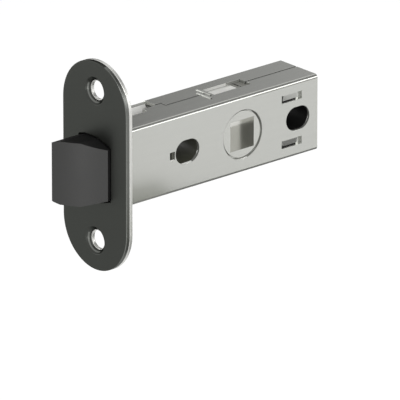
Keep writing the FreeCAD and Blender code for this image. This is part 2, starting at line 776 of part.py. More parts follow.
def cam_flats(name, radius, flat, span):
    """Round bar with two flats, along Y at the follower's axis."""
    bar = rod(f"{name}_bar", "y", radius, span, ("backset", "0"))
    slab = block(f"{name}_slab", ("backset - 2 * boss_radius", "backset + 2 * boss_radius"),
                 span, (f"-({flat})", flat))
    common = doc.addObject("Part::MultiCommon", name)
    common.Shapes = [bar, slab]
    return common


def make_follower_hub():
    """Hub with the spindle square, its bosses turning in both case walls."""
    near = rod("hub_near_boss", "y", "boss_radius", ("-case_half_width", "cam_near_side"),
               ("backset", "0"))
    collar = rod("hub_collar", "y", "hub_radius",
                 ("-slide_half_width", "cam_near_side - contact_gap"), ("backset", "0"))
    seat = cam_flats("hub_seat", "boss_radius", "cam_flat",
                     ("cam_near_side - overlap", "cam_far_side + contact_gap + overlap"))
    far = rod("hub_far_boss", "y", "boss_radius", ("cam_far_side + contact_gap", "case_half_width"),
              ("backset", "0"))
    square = block("hub_square", ("backset - spindle_square / 2", "backset + spindle_square / 2"),
                   ("-case_half_width - over_cut", "case_half_width + over_cut"),
                   ("-spindle_square / 2", "spindle_square / 2"))
    return label(remove("hub_cut", join("hub_stock", [near, collar, seat, far]), [square]),
                 "follower_hub")


def make_follower_cam():
    """Cam plate keyed on the hub's flats, with two arms that draw the tail."""
    span = ("cam_near_side", "cam_far_side")
    disc = rod("cam_disc", "y", "cam_radius", span, ("backset", "0"))
    arms = []
    for number, side in enumerate((1, -1)):
        beam = doc.addObject("Part::Box", f"arm_beam_{number}")
        bind(beam, "Length", "2 * arm_tip_radius")
        bind(beam, "Width", "cam_thickness")
        bind(beam, "Height", "arm_reach")
        bind(beam, "Placement.Base.x", "-arm_tip_radius")
        bind(beam, "Placement.Base.y", "cam_near_side")
        bind(beam, "Placement.Base.z", "0" if side > 0 else "-arm_reach")
        tip = rod(f"arm_tip_{number}", "y", "arm_tip_radius", span, ("0", f"{side} * arm_reach"))
        arm = join(f"arm_{number}", [beam, tip])
        arm.Placement = Placement(Vector(), Rotation(Vector(0, -side, 0), value("arm_lean")))
        bind(arm, "Placement.Base.x", "backset")
        bind(arm, "Placement.Rotation.Angle", "arm_lean * 1deg")
        arms.append(arm)
    bore = cam_flats("cam_bore", "boss_radius + fit_clearance", "cam_flat + fit_clearance",
                     ("cam_near_side - over_cut", "cam_far_side + over_cut"))
    return label(remove("cam_cut", join("cam_stock", [disc] + arms), [bore]), "follower_cam")


def make_hub_bush():
    """Ring that keeps the cam plate against the hub's collar."""
    span = ("cam_far_side + contact_gap", "slide_half_width")
    ring = rod("bush_ring", "y", "hub_radius", span, ("backset", "0"))
    bore = rod("bush_bore", "y", "boss_radius + fit_clearance",
               ("cam_far_side - over_cut", "case_half_width"), ("backset", "0"))
    return label(remove("bush_cut", ring, [bore]), "hub_bush")


def export(pieces):
    """Check every object and write one STEP file for each sub-part."""
    doc.recompute()
    broken = [item.Label for item in doc.Objects if "Invalid" in item.State or "Error" in item.State]
    if broken:
        raise RuntimeError(f"Objects in error: {broken}")
    for piece in pieces:
        if piece.Shape.isNull() or not piece.Shape.isValid():
            raise RuntimeError(f"{piece.Label} has no valid shape")
    os.makedirs(OUTPUT_FOLDER, exist_ok=True)
    for piece in pieces:
        piece.Shape.exportStep(os.path.join(OUTPUT_FOLDER, f"{piece.Label}.step"))
        print(piece.Label, len(piece.Shape.Solids), "solid", round(piece.Shape.Volume, 1), "mm3")


export([
    make_faceplate(),
    make_backing_plate(),
    make_case(),
    make_latch_bolt(),
    make_bolt_tail(),
    make_tail_rivets(),
    make_bolt_spring(),
    make_spring_guide(),
    make_front_spacer(),
    make_rear_spacer(),
    make_end_plate(),
    make_tail_springs(),
    make_spring_pins(),
    make_follower_hub(),
    make_follower_cam(),
    make_hub_bush(),
])
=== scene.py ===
"""Looks of a tubular mortice latch: coated plates, a folded steel case, a bevelled bolt and its works.

Sizes in the classes are in millimetres, in the part's own frame: origin at the centre of the
faceplate's front face, +X into the door, +Y across the door, +Z up.
"""

from __future__ import annotations

import json
import logging
import math
from collections.abc import Callable, Sequence
from dataclasses import dataclass, field
from enum import Enum

import bmesh
import bpy
from mathutils import Matrix, Vector
from mathutils.geometry import tessellate_polygon

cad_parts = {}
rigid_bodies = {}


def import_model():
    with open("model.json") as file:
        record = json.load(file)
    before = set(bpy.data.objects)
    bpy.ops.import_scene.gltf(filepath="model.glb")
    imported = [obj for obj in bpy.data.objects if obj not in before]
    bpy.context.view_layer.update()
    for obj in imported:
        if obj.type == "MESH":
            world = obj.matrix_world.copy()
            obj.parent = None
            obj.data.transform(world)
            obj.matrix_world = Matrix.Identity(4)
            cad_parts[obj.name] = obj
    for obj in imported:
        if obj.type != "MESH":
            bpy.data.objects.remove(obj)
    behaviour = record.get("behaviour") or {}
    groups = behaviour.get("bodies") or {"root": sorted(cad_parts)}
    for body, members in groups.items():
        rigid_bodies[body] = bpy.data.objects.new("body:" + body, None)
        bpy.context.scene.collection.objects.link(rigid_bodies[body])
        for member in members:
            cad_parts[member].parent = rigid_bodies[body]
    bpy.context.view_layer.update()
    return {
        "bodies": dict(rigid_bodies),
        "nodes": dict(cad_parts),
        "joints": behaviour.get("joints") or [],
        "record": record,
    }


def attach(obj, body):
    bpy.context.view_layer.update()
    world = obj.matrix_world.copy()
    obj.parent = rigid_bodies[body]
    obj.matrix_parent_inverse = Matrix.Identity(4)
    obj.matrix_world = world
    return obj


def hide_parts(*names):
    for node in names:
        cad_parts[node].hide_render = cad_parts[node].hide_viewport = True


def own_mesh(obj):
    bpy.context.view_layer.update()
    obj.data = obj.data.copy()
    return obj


MM = 0.001
ARC_STEPS = 40
CORNER_SHARE = 0.45
SHARPEST_MITRE = 0.3
FLAT_RING = 0.03
HAIR = 0.01
SHARP_ANGLE = math.radians(38)
GRAIN_STRETCH = (0.06, 1.0, 1.0)
SPECKLE_SCALE = 2200.0
RELIEF_STRENGTH = 0.6
WIRE_FACETS = 12
WHITE = (1.0, 1.0, 1.0, 1.0)

BACKSET = 44.2
THROUGH_HOLES = (25.1, 63.3)
HOLE_STRAIGHT = 0.85
TRAVEL = 9.4

Flat = tuple[float, float]
Solid = tuple[float, float, float]
Placer = Callable[[float, float, float], Solid]
Shape = bmesh.types.BMesh
Piece = bpy.types.Object

log = logging.getLogger("latch")


class Body(Enum):
    """Bodies of the latch that move as one."""

    CASE = "case_body"
    BOLT = "bolt_body"
    FOLLOWER = "follower_body"


class Slot(Enum):
    """Material slots of the record."""

    DARK_PLATE = "dark_plate"
    ZINC_STEEL = "zinc_steel"
    CASE_STEEL = "case_steel"
    DARK_BOLT = "dark_bolt"
    SPRING_STEEL = "spring_steel"
    BLACK_MOULDING = "black_moulding"
    CAST_ZINC = "cast_zinc"


class Effect(Enum):
    """Surface effects that several finishes share."""

    GRAIN = "rolled_grain"
    MOTTLE = "soft_mottle"


class Growth(Enum):
    """Geometry trees that repeat a shape."""

    COIL = "wound_coil"
    ROW = "row_of_copies"


# Outlines


def arc(centre: Flat, radius: float, start: float, end: float, steps: int = ARC_STEPS) -> list[Flat]:
    """Points along an arc.

    Args:
        centre: Centre of the arc.
        radius: Radius of the arc.
        start: First angle in degrees.
        end: Last angle in degrees.
        steps: Number of straight pieces.

    Returns:
        The points, both ends included.
    """
    turns = [math.radians(start + (end - start) * step / steps) for step in range(steps + 1)]
    return [(centre[0] + radius * math.cos(t), centre[1] + radius * math.sin(t)) for t in turns]


def circle(centre: Flat, radius: float, steps: int = 2 * ARC_STEPS) -> list[Flat]:
    """Closed circle, counter-clockwise."""
    return arc(centre, radius, 0.0, 360.0, steps)[:-1]


def stadium(centre: Flat, half_straight: float, radius: float, upright: bool) -> list[Flat]:
    """Closed outline with two round ends, counter-clockwise.

    Args:
        centre: Middle of the outline.
        half_straight: Half the length of its straight sides.
        radius: Radius of its ends.
        upright: True if the straight sides run along the second axis.

    Returns:
        The outline's points.
    """
    across, up = centre
    if upright:
        return (arc((across, up + half_straight), radius, 0.0, 180.0)
                + arc((across, up - half_straight), radius, 180.0, 360.0))
    return (arc((across + half_straight, up), radius, -90.0, 90.0)
            + arc((across - half_straight, up), radius, 90.0, 270.0))


def rounded(corners: Sequence[Flat], radius: float, steps: int = 4) -> list[Flat]:
    """Closed outline whose corners are softened.

    Args:
        corners: Corners of the outline.
        radius: How far along each side the softening starts.
        steps: Number of straight pieces at each corner.

    Returns:
        The softened outline, in the same order.
    """
    points: list[Flat] = []
    for number, corner in enumerate(corners):
        here = Vector(corner)
        back = Vector(corners[number - 1]) - here
        ahead = Vector(corners[(number + 1) % len(corners)]) - here
        reach = min(radius, CORNER_SHARE * back.length, CORNER_SHARE * ahead.length)
        first, last = here + back.normalized() * reach, here + ahead.normalized() * reach
        for step in range(steps + 1):
            t = step / steps
            point = first * (1 - t) ** 2 + here * (2 * t * (1 - t)) + last * t ** 2
            points.append((point.x, point.y))
    return points


def rectangle(low: Flat, high: Flat) -> list[Flat]:
    """Corners of a rectangle, counter-clockwise."""
    return [low, (high[0], low[1]), high, (low[0], high[1])]


def hole(points: Sequence[Flat]) -> list[Flat]:
    """The same outline run the other way, so that the metal lies on its left."""
    return list(reversed(points))


def signed_area(points: Sequence[Flat]) -> float:
    """Area inside an outline, positive if it runs counter-clockwise."""
    pairs = zip(points, [*points[1:], points[0]])
    return sum(a[0] * b[1] - b[0] * a[1] for a, b in pairs) / 2


# Meshes


@dataclass
class Rim:
    """Closed outline with the metal on its left, and how its wall runs from front to back.

    Attributes:
        points: The outline.
        profile: Inset into the metal and depth, from the front face to the back face.
        flats: Height beyond which the outline is cut off flat, for the steps that are.
    """

    points: list[Flat]
    profile: list[Flat]
    flats: dict[int, float] = field(default_factory=dict)

    def ring(self, step: int) -> list[Flat]:
        """Outline at one step of the profile."""
        limit = self.flats.get(step, math.inf)
        return [(u, max(-limit, min(limit, v))) for u, v in inset(self.points, self.profile[step][0])]


def inset(points: Sequence[Flat], amount: float) -> list[Flat]:
    """Outline moved to its left.

    Args:
        points: Closed outline.
        amount: Distance to move it.

    Returns:
        The moved outline, with as many points.
    """
    moved: list[Flat] = []
    for number, point in enumerate(points):
        here = Vector(point)
        arriving = (here - Vector(points[number - 1])).normalized()
        leaving = (Vector(points[(number + 1) % len(points)]) - here).normalized()
        normal = Vector((-arriving.y, arriving.x))
        middle = (normal + Vector((-leaving.y, leaving.x))).normalized()
        place = here + middle * (amount / max(middle.dot(normal), SHARPEST_MITRE))
        moved.append((place.x, place.y))
    return moved


def soft_wall(thickness: float, radius: float, steps: int = 3) -> list[Flat]:
    """Profile of a wall with both edges rounded, and a ring that keeps the faces' shading flat.

    Args:
        thickness: Depth of the wall.
        radius: Radius of its edges.
        steps: Number of straight pieces at each edge.

    Returns:
        The profile.
    """
    turns = [math.radians(90.0 * step / steps) for step in range(steps + 1)]
    front = [(radius + FLAT_RING, 0.0)]
    front += [(radius * (1 - math.sin(t)), radius * (1 - math.cos(t))) for t in turns]
    return front + [(side, thickness - depth) for side, depth in reversed(front)]


def bridge(mesh: Shape, rings: Sequence[Sequence[bmesh.types.BMVert]]) -> None:
    """Join each ring of vertices to the next by a band of faces.

    Args:
        mesh: Mesh that holds them.
        rings: The rings, with as many vertices each.
    """
    for near, far in zip(rings, rings[1:]):
        for number in range(len(near)):
            after = (number + 1) % len(near)
            mesh.faces.new((near[number], near[after], far[after], far[number]))


def plate_mesh(rims: Sequence[Rim], place: Placer) -> Shape:
    """Closed plate from its outlines, the outer one and those of its holes.

    Args:
        rims: The outlines, whose walls start on the front face and end on the back face.
        place: Turns two plane coordinates and a depth into a place in the frame.

    Returns:
        The plate in millimetres.
    """
    mesh = bmesh.new()
    walls = [[[mesh.verts.new(place(u, v, depth)) for u, v in rim.ring(step)]
              for step, (_, depth) in enumerate(rim.profile)] for rim in rims]
    for rings in walls:
        bridge(mesh, rings)
    for end in (0, -1):
        loops = [[Vector((u, v, 0.0)) for u, v in rim.ring(end % len(rim.profile))] for rim in rims]
        corners = [vertex for rings in walls for vertex in rings[end]]
        for triangle in tessellate_polygon(loops):
            if len(set(triangle)) == 3:
                mesh.faces.new([corners[index] for index in triangle])
    bmesh.ops.recalc_face_normals(mesh, faces=mesh.faces)
    return mesh


def on_face(start: float) -> Placer:
    """Places an outline drawn in Y and Z, with its depth along +X from a start."""
    return lambda u, v, depth: (start + depth, u, v)


def on_side(start: float) -> Placer:
    """Places an outline drawn in X and Z, with its depth along +Y from a start."""
    return lambda u, v, depth: (u, start + depth, v)


def on_top(start: float, down: float = 1.0) -> Placer:
    """Places an outline drawn in X and Y, with its depth along -Z, or +Z if down is -1, from a start."""
    return lambda u, v, depth: (u, v, start - down * depth)


def to_mesh(name: str, parts: Sequence[Shape]) -> bpy.types.Mesh:
    """Join parts into one mesh.

    Args:
        name: Name of the mesh.
        parts: The parts in millimetres, which are used up.

    Returns:
        The mesh in metres.
    """
    whole = bmesh.new()
    for part in parts:
        held = bpy.data.meshes.new("part")
        part.to_mesh(held)
        part.free()
        whole.from_mesh(held)
        bpy.data.meshes.remove(held)
    bmesh.ops.scale(whole, vec=(MM, MM, MM), verts=whole.verts)
    mesh = bpy.data.meshes.new(name)
    whole.to_mesh(mesh)
    whole.free()
    return mesh


def new_piece(name: str, data: bpy.types.ID) -> Piece:
    """Object in the scene that holds a mesh, a lamp or a camera.

    Args:
        name: Name of the object.
        data: What it holds.

    Returns:
        The object.
    """
    piece = bpy.data.objects.new(name, data)
    bpy.context.scene.collection.objects.link(piece)
    return piece


def settled(piece: Piece) -> Piece:
    """Apply a piece's modifiers, so that it is a plain mesh.

    Args:
        piece: The piece, which lies at the origin.

    Returns:
        The same piece.
    """
    bpy.context.view_layer.update()
    graph = bpy.context.evaluated_depsgraph_get()
    mesh = bpy.data.meshes.new_from_object(piece.evaluated_get(graph))
    mesh.name = piece.name
    piece.modifiers.clear()
    piece.data = mesh
    return piece


def smoothed(piece: Piece) -> Piece:
    """Smooth a piece's round stretches and keep its flat faces flat.

    Args:
        piece: The piece.

    Returns:
        The same piece.
    """
    piece.data.shade_smooth()
    piece.data.set_sharp_from_angle(angle=SHARP_ANGLE)
    piece.modifiers.new("flat_faces", "WEIGHTED_NORMAL").keep_sharp = True
    return settled(piece)


def piece_of(name: str, *parts: Shape) -> Piece:
    """Smoothed piece made of parts in millimetres."""
    return smoothed(new_piece(name, to_mesh(name, parts)))


# Node trees


def feed(tree: bpy.types.NodeTree, node: bpy.types.Node, feeds: dict[str | int, object]) -> None:
    """Give inputs of a node their values or links.

    Args:
        tree: Tree that holds the node.
        node: The node.
        feeds: For each input, its value or the socket that it is linked to.
    """
    for label, value in feeds.items():
        if isinstance(value, bpy.types.NodeSocket):
            tree.links.new(value, node.inputs[label])
        else:
            node.inputs[label].default_value = value


def add_node(tree: bpy.types.NodeTree, kind: str, feeds: dict[str | int, object],
             **traits: object) -> bpy.types.Node:
    """Add a node to a tree.

    Args:
        tree: The tree.
        kind: Type of the node.
        feeds: For each input, its value or the socket that it is linked to.
        traits: Settings of the node itself.

    Returns:
        The node.
    """
    node = tree.nodes.new(kind)
    for trait, value in traits.items():
        setattr(node, trait, value)
    feed(tree, node, feeds)
    return node


def node_group(name: str, kind: str, inputs: dict[str, str], outputs: dict[str, str]) -> bpy.types.NodeTree:
    """Empty node group with named sockets.

    Args:
        name: Name of the group.
        kind: Type of the group.
        inputs: Type of each input.
        outputs: Type of each output.

    Returns:
        The group, with its input and output nodes.
    """
    group = bpy.data.node_groups.new(name, kind)
    for way, sockets in (("INPUT", inputs), ("OUTPUT", outputs)):
        for label, socket in sockets.items():
            group.interface.new_socket(name=label, in_out=way, socket_type=f"NodeSocket{socket}")
    group.nodes.new("NodeGroupInput").name = "in"
    group.nodes.new("NodeGroupOutput").name = "out"
    return group


def effect_group(effect: Effect) -> bpy.types.ShaderNodeTree:
    """Empty shader group that turns a place into a tone and a height."""
    return node_group(effect.value, "ShaderNodeTree", {"Vector": "Vector", "Scale": "Float"},
                      {"Tone": "Float", "Height": "Float"})


def rolled_grain_group() -> None:
    """Make the group for the fine lines that rolling leaves along a sheet."""
    group = effect_group(Effect.GRAIN)
    source = group.nodes["in"].outputs
    squeeze = add_node(group, "ShaderNodeVectorMath", {0: source["Vector"], 1: GRAIN_STRETCH},
                       operation="MULTIPLY")
    lines = add_node(group, "ShaderNodeTexNoise", {
        "Vector": squeeze.outputs["Vector"], "Scale": source["Scale"], "Detail": 3.0, "Roughness": 0.6})
    spread = add_node(group, "ShaderNodeMapRange",
                      {"Value": lines.outputs["Fac"], "From Min": 0.3, "From Max": 0.7})
    feed(group, group.nodes["out"], {"Tone": spread.outputs["Result"], "Height": lines.outputs["Fac"]})


def soft_mottle_group() -> None:
    """Make the group for a slow change of tone, with the fine speckle of castings and coatings."""
    group = effect_group(Effect.MOTTLE)
    source = group.nodes["in"].outputs
    clouds, specks = (
        add_node(group, "ShaderNodeTexNoise", {"Vector": source["Vector"], "Scale": scale, "Detail": 2.0})
        for scale in (source["Scale"], SPECKLE_SCALE))
    feed(group, group.nodes["out"], {"Tone": clouds.outputs["Fac"], "Height": specks.outputs["Fac"]})


def view_level(tree: bpy.types.ShaderNodeTree, lit: float, seen: float) -> bpy.types.NodeSocket:
    """Brightness that differs between rays that light the latch and rays that see this surface.

    Args:
        tree: Nodes of a backdrop's material or of the world.
        lit: Brightness for rays that light the latch.
        seen: Brightness for rays from the camera, a mirror or glass.

    Returns:
        The socket that gives it.
    """
    path = add_node(tree, "ShaderNodeLightPath", {})
    view = path.outputs["Is Camera Ray"]
    for kind in ("Is Glossy Ray", "Is Transmission Ray"):
        either = add_node(tree, "ShaderNodeMath", {0: view, 1: path.outputs[kind]}, operation="MAXIMUM")
        view = either.outputs["Value"]
    level = add_node(tree, "ShaderNodeMapRange", {"Value": view, "To Min": lit, "To Max": seen})
    return level.outputs["Result"]


def geometry_tree(growth: Growth, inputs: dict[str, str]) -> bpy.types.GeometryNodeTree:
    """Empty geometry tree, with a shape and a material among what goes in."""
    return node_group(growth.value, "GeometryNodeTree",
                      {"Geometry": "Geometry", **inputs, "Material": "Material"}, {"Geometry": "Geometry"})


def close_tree(tree: bpy.types.GeometryNodeTree, shape: bpy.types.NodeSocket) -> None:
    """End a tree in real geometry with its material.

    Args:
        tree: The tree.
        shape: The socket that gives its shape.
    """
    real = add_node(tree, "GeometryNodeRealizeInstances", {"Geometry": shape})
    dress = add_node(tree, "GeometryNodeSetMaterial", {
        "Geometry": real.outputs["Geometry"], "Material": tree.nodes["in"].outputs["Material"]})
    feed(tree, tree.nodes["out"], {"Geometry": dress.outputs["Geometry"]})


def coil_tree() -> None:
    """Make the tree that winds wire into a spring along Z."""
    tree = geometry_tree(Growth.COIL, {"Turns": "Float", "Mean Radius": "Float", "Height": "Float",
                                       "Wire Radius": "Float", "Steps": "Int"})
    source = tree.nodes["in"].outputs
    path = add_node(tree, "GeometryNodeCurveSpiral", {
        "Resolution": source["Steps"], "Rotations": source["Turns"], "Height": source["Height"],
        "Start Radius": source["Mean Radius"], "End Radius": source["Mean Radius"]})
    section = add_node(tree, "GeometryNodeCurvePrimitiveCircle",
                       {"Resolution": WIRE_FACETS, "Radius": source["Wire Radius"]})
    wire = add_node(tree, "GeometryNodeCurveToMesh", {
        "Curve": path.outputs["Curve"], "Profile Curve": section.outputs["Curve"], "Fill Caps": True})
    close_tree(tree, wire.outputs["Mesh"])


def row_tree() -> None:
    """Make the tree that copies one shape in a row, each a step further."""
    tree = geometry_tree(Growth.ROW, {"Count": "Int", "Step": "Vector"})
    source = tree.nodes["in"].outputs
    places = add_node(tree, "GeometryNodeMeshLine", {"Count": source["Count"], "Offset": source["Step"]})
    copies = add_node(tree, "GeometryNodeInstanceOnPoints",
                      {"Points": places.outputs["Mesh"], "Instance": source["Geometry"]})
    close_tree(tree, copies.outputs["Instances"])


def grown(name: str, mesh: bpy.types.Mesh, growth: Growth, values: dict[str, object]) -> Piece:
    """Piece made by a geometry tree and turned into a plain mesh.

    Args:
        name: Name of the piece.
        mesh: Mesh that the tree starts from.
        growth: The tree.
        values: Value of each named input.

    Returns:
        The piece.
    """
    piece = new_piece(name, mesh)
    tree = bpy.data.node_groups[growth.value]
    modifier = piece.modifiers.new("growth", "NODES")
    modifier.node_group = tree
    for item in tree.interface.items_tree:
        if item.in_out == "INPUT" and item.name in values:
            modifier[item.identifier] = values[item.name]
    return settled(piece)


# Finishes


@dataclass(frozen=True)
class Finish:
    """One finish of the latch.

    Attributes:
        slot: Material slot of the record.
        color: Colour as linear red, green and blue.
        metallic: Share of metal.
        roughness: Middle roughness.
        effect: Effect that varies the surface.
        scale: Size of the effect's pattern.
        tone_swing: How far the colour strays, as a share.
        rough_swing: How far the roughness strays.
        bump: Height of the fine relief in metres.
        specular: Level of the coat's own shine.
        edge: Tint of the shine at a glancing angle.
        name: Name of the material, or none for the slot's own.
    """

    slot: Slot
    color: Solid
    metallic: float
    roughness: float
    effect: Effect = Effect.MOTTLE
    scale: float = 90.0
    tone_swing: float = 0.05
    rough_swing: float = 0.08
    bump: float = 0.000004
    specular: float = 0.5
    edge: float = 1.0
    name: str = ""

    def shade(self, swing: float) -> tuple[float, ...]:
        """Opaque colour, lightened by a share or darkened by a negative one."""
        return (*(channel * (1 + swing) for channel in self.color), 1.0)

    def material(self) -> bpy.types.Material:
        """The finish as a material, made once.

        Returns:
            The material.
        """
        label = f"{self.name or self.slot.value}_finish"
        known = bpy.data.materials.get(label)
        if known:
            return known
        material = bpy.data.materials.new(label)
        material.use_nodes = True
        tree = material.node_tree
        place = add_node(tree, "ShaderNodeTexCoord", {})
        pattern = add_node(tree, "ShaderNodeGroup", {"Vector": place.outputs["Object"], "Scale": self.scale},
                           node_tree=bpy.data.node_groups[self.effect.value])
        tone = add_node(tree, "ShaderNodeMix", {
            "Factor": pattern.outputs["Tone"], "A": self.shade(-self.tone_swing),
            "B": self.shade(self.tone_swing)}, data_type="RGBA")
        rough = add_node(tree, "ShaderNodeMapRange", {
            "Value": pattern.outputs["Tone"], "To Min": self.roughness - self.rough_swing,
            "To Max": self.roughness + self.rough_swing})
        relief = add_node(tree, "ShaderNodeBump", {
            "Height": pattern.outputs["Height"], "Strength": RELIEF_STRENGTH, "Distance": self.bump})
        feed(tree, tree.nodes["Principled BSDF"], {
            "Metallic": self.metallic, "Specular IOR Level": self.specular,
            "Specular Tint": (self.edge, self.edge, self.edge, 1.0),
            "Base Color": tone.outputs["Result"], "Roughness": rough.outputs["Result"],
            "Normal": relief.outputs["Normal"]})
        return material


@dataclass(frozen=True)
class SheetFinish(Finish):
    """Finish of rolled sheet, with fine lines along it."""

    effect: Effect = Effect.GRAIN
    scale: float = 900.0
    tone_swing: float = 0.02
    rough_swing: float = 0.04
    bump: float = 0.000001


@dataclass(frozen=True)
class ZincFinish(Finish):
    """Finish of a smooth zinc casting."""

    tone_swing: float = 0.015
    rough_swing: float = 0.02
    bump: float = 0.000001


DARK_COATING = Finish(Slot.DARK_PLATE, (0.052, 0.0545, 0.05), 0.9, 0.36, scale=70.0, edge=0.2)
# Lighter coat for the faceplate's near edge and its countersinks: painted highlight, standing for the shine
# of these lit edges.
PAINTED_HIGHLIGHT_COATING = Finish(Slot.DARK_PLATE, (0.15, 0.155, 0.145), 0.9, 0.34, scale=70.0, edge=0.4,
                        name="painted_highlight_coating")
BOLT_CASTING = Finish(Slot.DARK_BOLT, (0.058, 0.058, 0.057), 0.92, 0.42, edge=0.3)
SPRING_WIRE = Finish(Slot.SPRING_STEEL, (0.42, 0.42, 0.42), 1.0, 0.3, scale=200.0)
BLACK_MOULDING = Finish(Slot.BLACK_MOULDING, (0.006, 0.006, 0.006), 0.0, 0.5, scale=120.0, specular=0.1)
# Lighter, olive copy of the black moulding for the front block, whose bore shows a lit surface: painted
# light.
PAINTED_LIGHT_MOULDING = Finish(Slot.BLACK_MOULDING, (0.045, 0.046, 0.034), 0.0, 0.45, scale=120.0,
                        name="painted_light_moulding")
ZINC_SHEET = SheetFinish(Slot.ZINC_STEEL, (0.6, 0.6, 0.575), 0.8, 0.38)
# Same zinc made far less metallic, so that the tail deep in the case shows paler: painted light.
TAIL_SHEET = SheetFinish(Slot.ZINC_STEEL, (0.58, 0.58, 0.56), 0.3, 0.4, name="painted_light_zinc")
CASE_SHEET = SheetFinish(Slot.CASE_STEEL, (0.44, 0.445, 0.42), 0.7, 0.16, tone_swing=0.015,
                         rough_swing=0.02, bump=0.0000005)
# Paler, duller finish for the case's inside faces: painted light, for the light that comes in through the
# top opening.
PAINTED_LIGHT_INSIDE = SheetFinish(Slot.CASE_STEEL, (0.9, 0.9, 0.87), 0.0, 0.5, name="painted_light_inside")
# Dark finish for the cut edges of the seam and slits on top: painted shade, for the shade inside the gaps.
PAINTED_SHADE_EDGES = SheetFinish(Slot.CASE_STEEL, (0.08, 0.08, 0.075), 0.5, 0.6, specular=0.1, name="painted_shade_edges")
# Paler, duller copy of the case sheet for the top window's far lip: painted light.
PAINTED_LIGHT_LIP = SheetFinish(Slot.CASE_STEEL, (0.52, 0.52, 0.5), 0.2, 0.45, name="painted_light_lip")
# Dark finish for the floor of the top window's recess: painted shade, standing for parts seen in shade
# there.
PAINTED_SHADE_RECESS = SheetFinish(Slot.CASE_STEEL, (0.17, 0.17, 0.155), 0.0, 0.5, specular=0.1,
                           name="painted_shade_recess")
FOLLOWER_CASTING = ZincFinish(Slot.CAST_ZINC, (0.465, 0.47, 0.443), 0.75, 0.2)
BROACHED_WALL = ZincFinish(Slot.CAST_ZINC, (0.6, 0.6, 0.565), 0.95, 0.13, name="broached_wall")


# Sub-assemblies


@dataclass
class SubAssembly:
    """Pieces that are built and dressed together.

    Attributes:
        made: The pieces made so far.
    """

    made: list[Piece] = field(default_factory=list, kw_only=True)

    def publish(self, piece: Piece, finish: Finish, body: Body, *nodes: str) -> None:
        """Dress a piece and hand it to its body.

        Args:
            piece: The piece.
            finish: Its finish.
            body: Body that it moves with.
            nodes: Nodes of the frame that it stands for.
        """
        piece.data.materials.clear()
        piece.data.materials.append(finish.material())
        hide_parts(*nodes)
        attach(piece, body.value)
        self.made.append(piece)

    def trim(self, finishes: Sequence[Finish], pick: Callable[[Vector, Vector], int]) -> None:
        """Give faces of the piece made last finishes of their own.

        Args:
            finishes: The further finishes.
            pick: Number of a face's finish, or 0 for the piece's own, from the face's centre in
                millimetres and its normal.
        """
        mesh = self.made[-1].data
        for finish in finishes:
            mesh.materials.append(finish.material())
        for face in mesh.polygons:
            face.material_index = pick(face.center / MM, face.normal)


@dataclass(frozen=True)
class BoltSection:
    """Section of the bolt across its slide, whose near corners slope from inner and far ones from outer."""

    half_width: float = 6.0
    top: float = 7.7
    bottom: float = -9.6
    inner: float = 1.0
    outer: float = 3.8
    near_drop: float = 1.7
    far_drop: float = 0.65

    def opening(self, gap: float) -> list[Flat]:
        """Outline of an opening that the bolt passes through.

        Args:
            gap: Gap round the bolt.

        Returns:
            The outline's corners, counter-clockwise.
        """
        side, top, bottom = self.half_width + gap, self.top + gap, self.bottom - gap
        return [(-side, bottom + self.near_drop), (-self.inner, bottom), (self.outer, bottom),
                (side, bottom + self.far_drop), (side, top - self.far_drop), (self.outer, top),
                (-self.inner, top), (-side, top - self.near_drop)]

    def drop(self, side: float) -> float:
        """How far the sloping corners lie inside the section's box at a side place."""
        near = self.near_drop * max(-self.inner - side, 0.0) / (self.half_width - self.inner)
        return near + self.far_drop * max(side - self.outer, 0.0) / (self.half_width - self.outer)


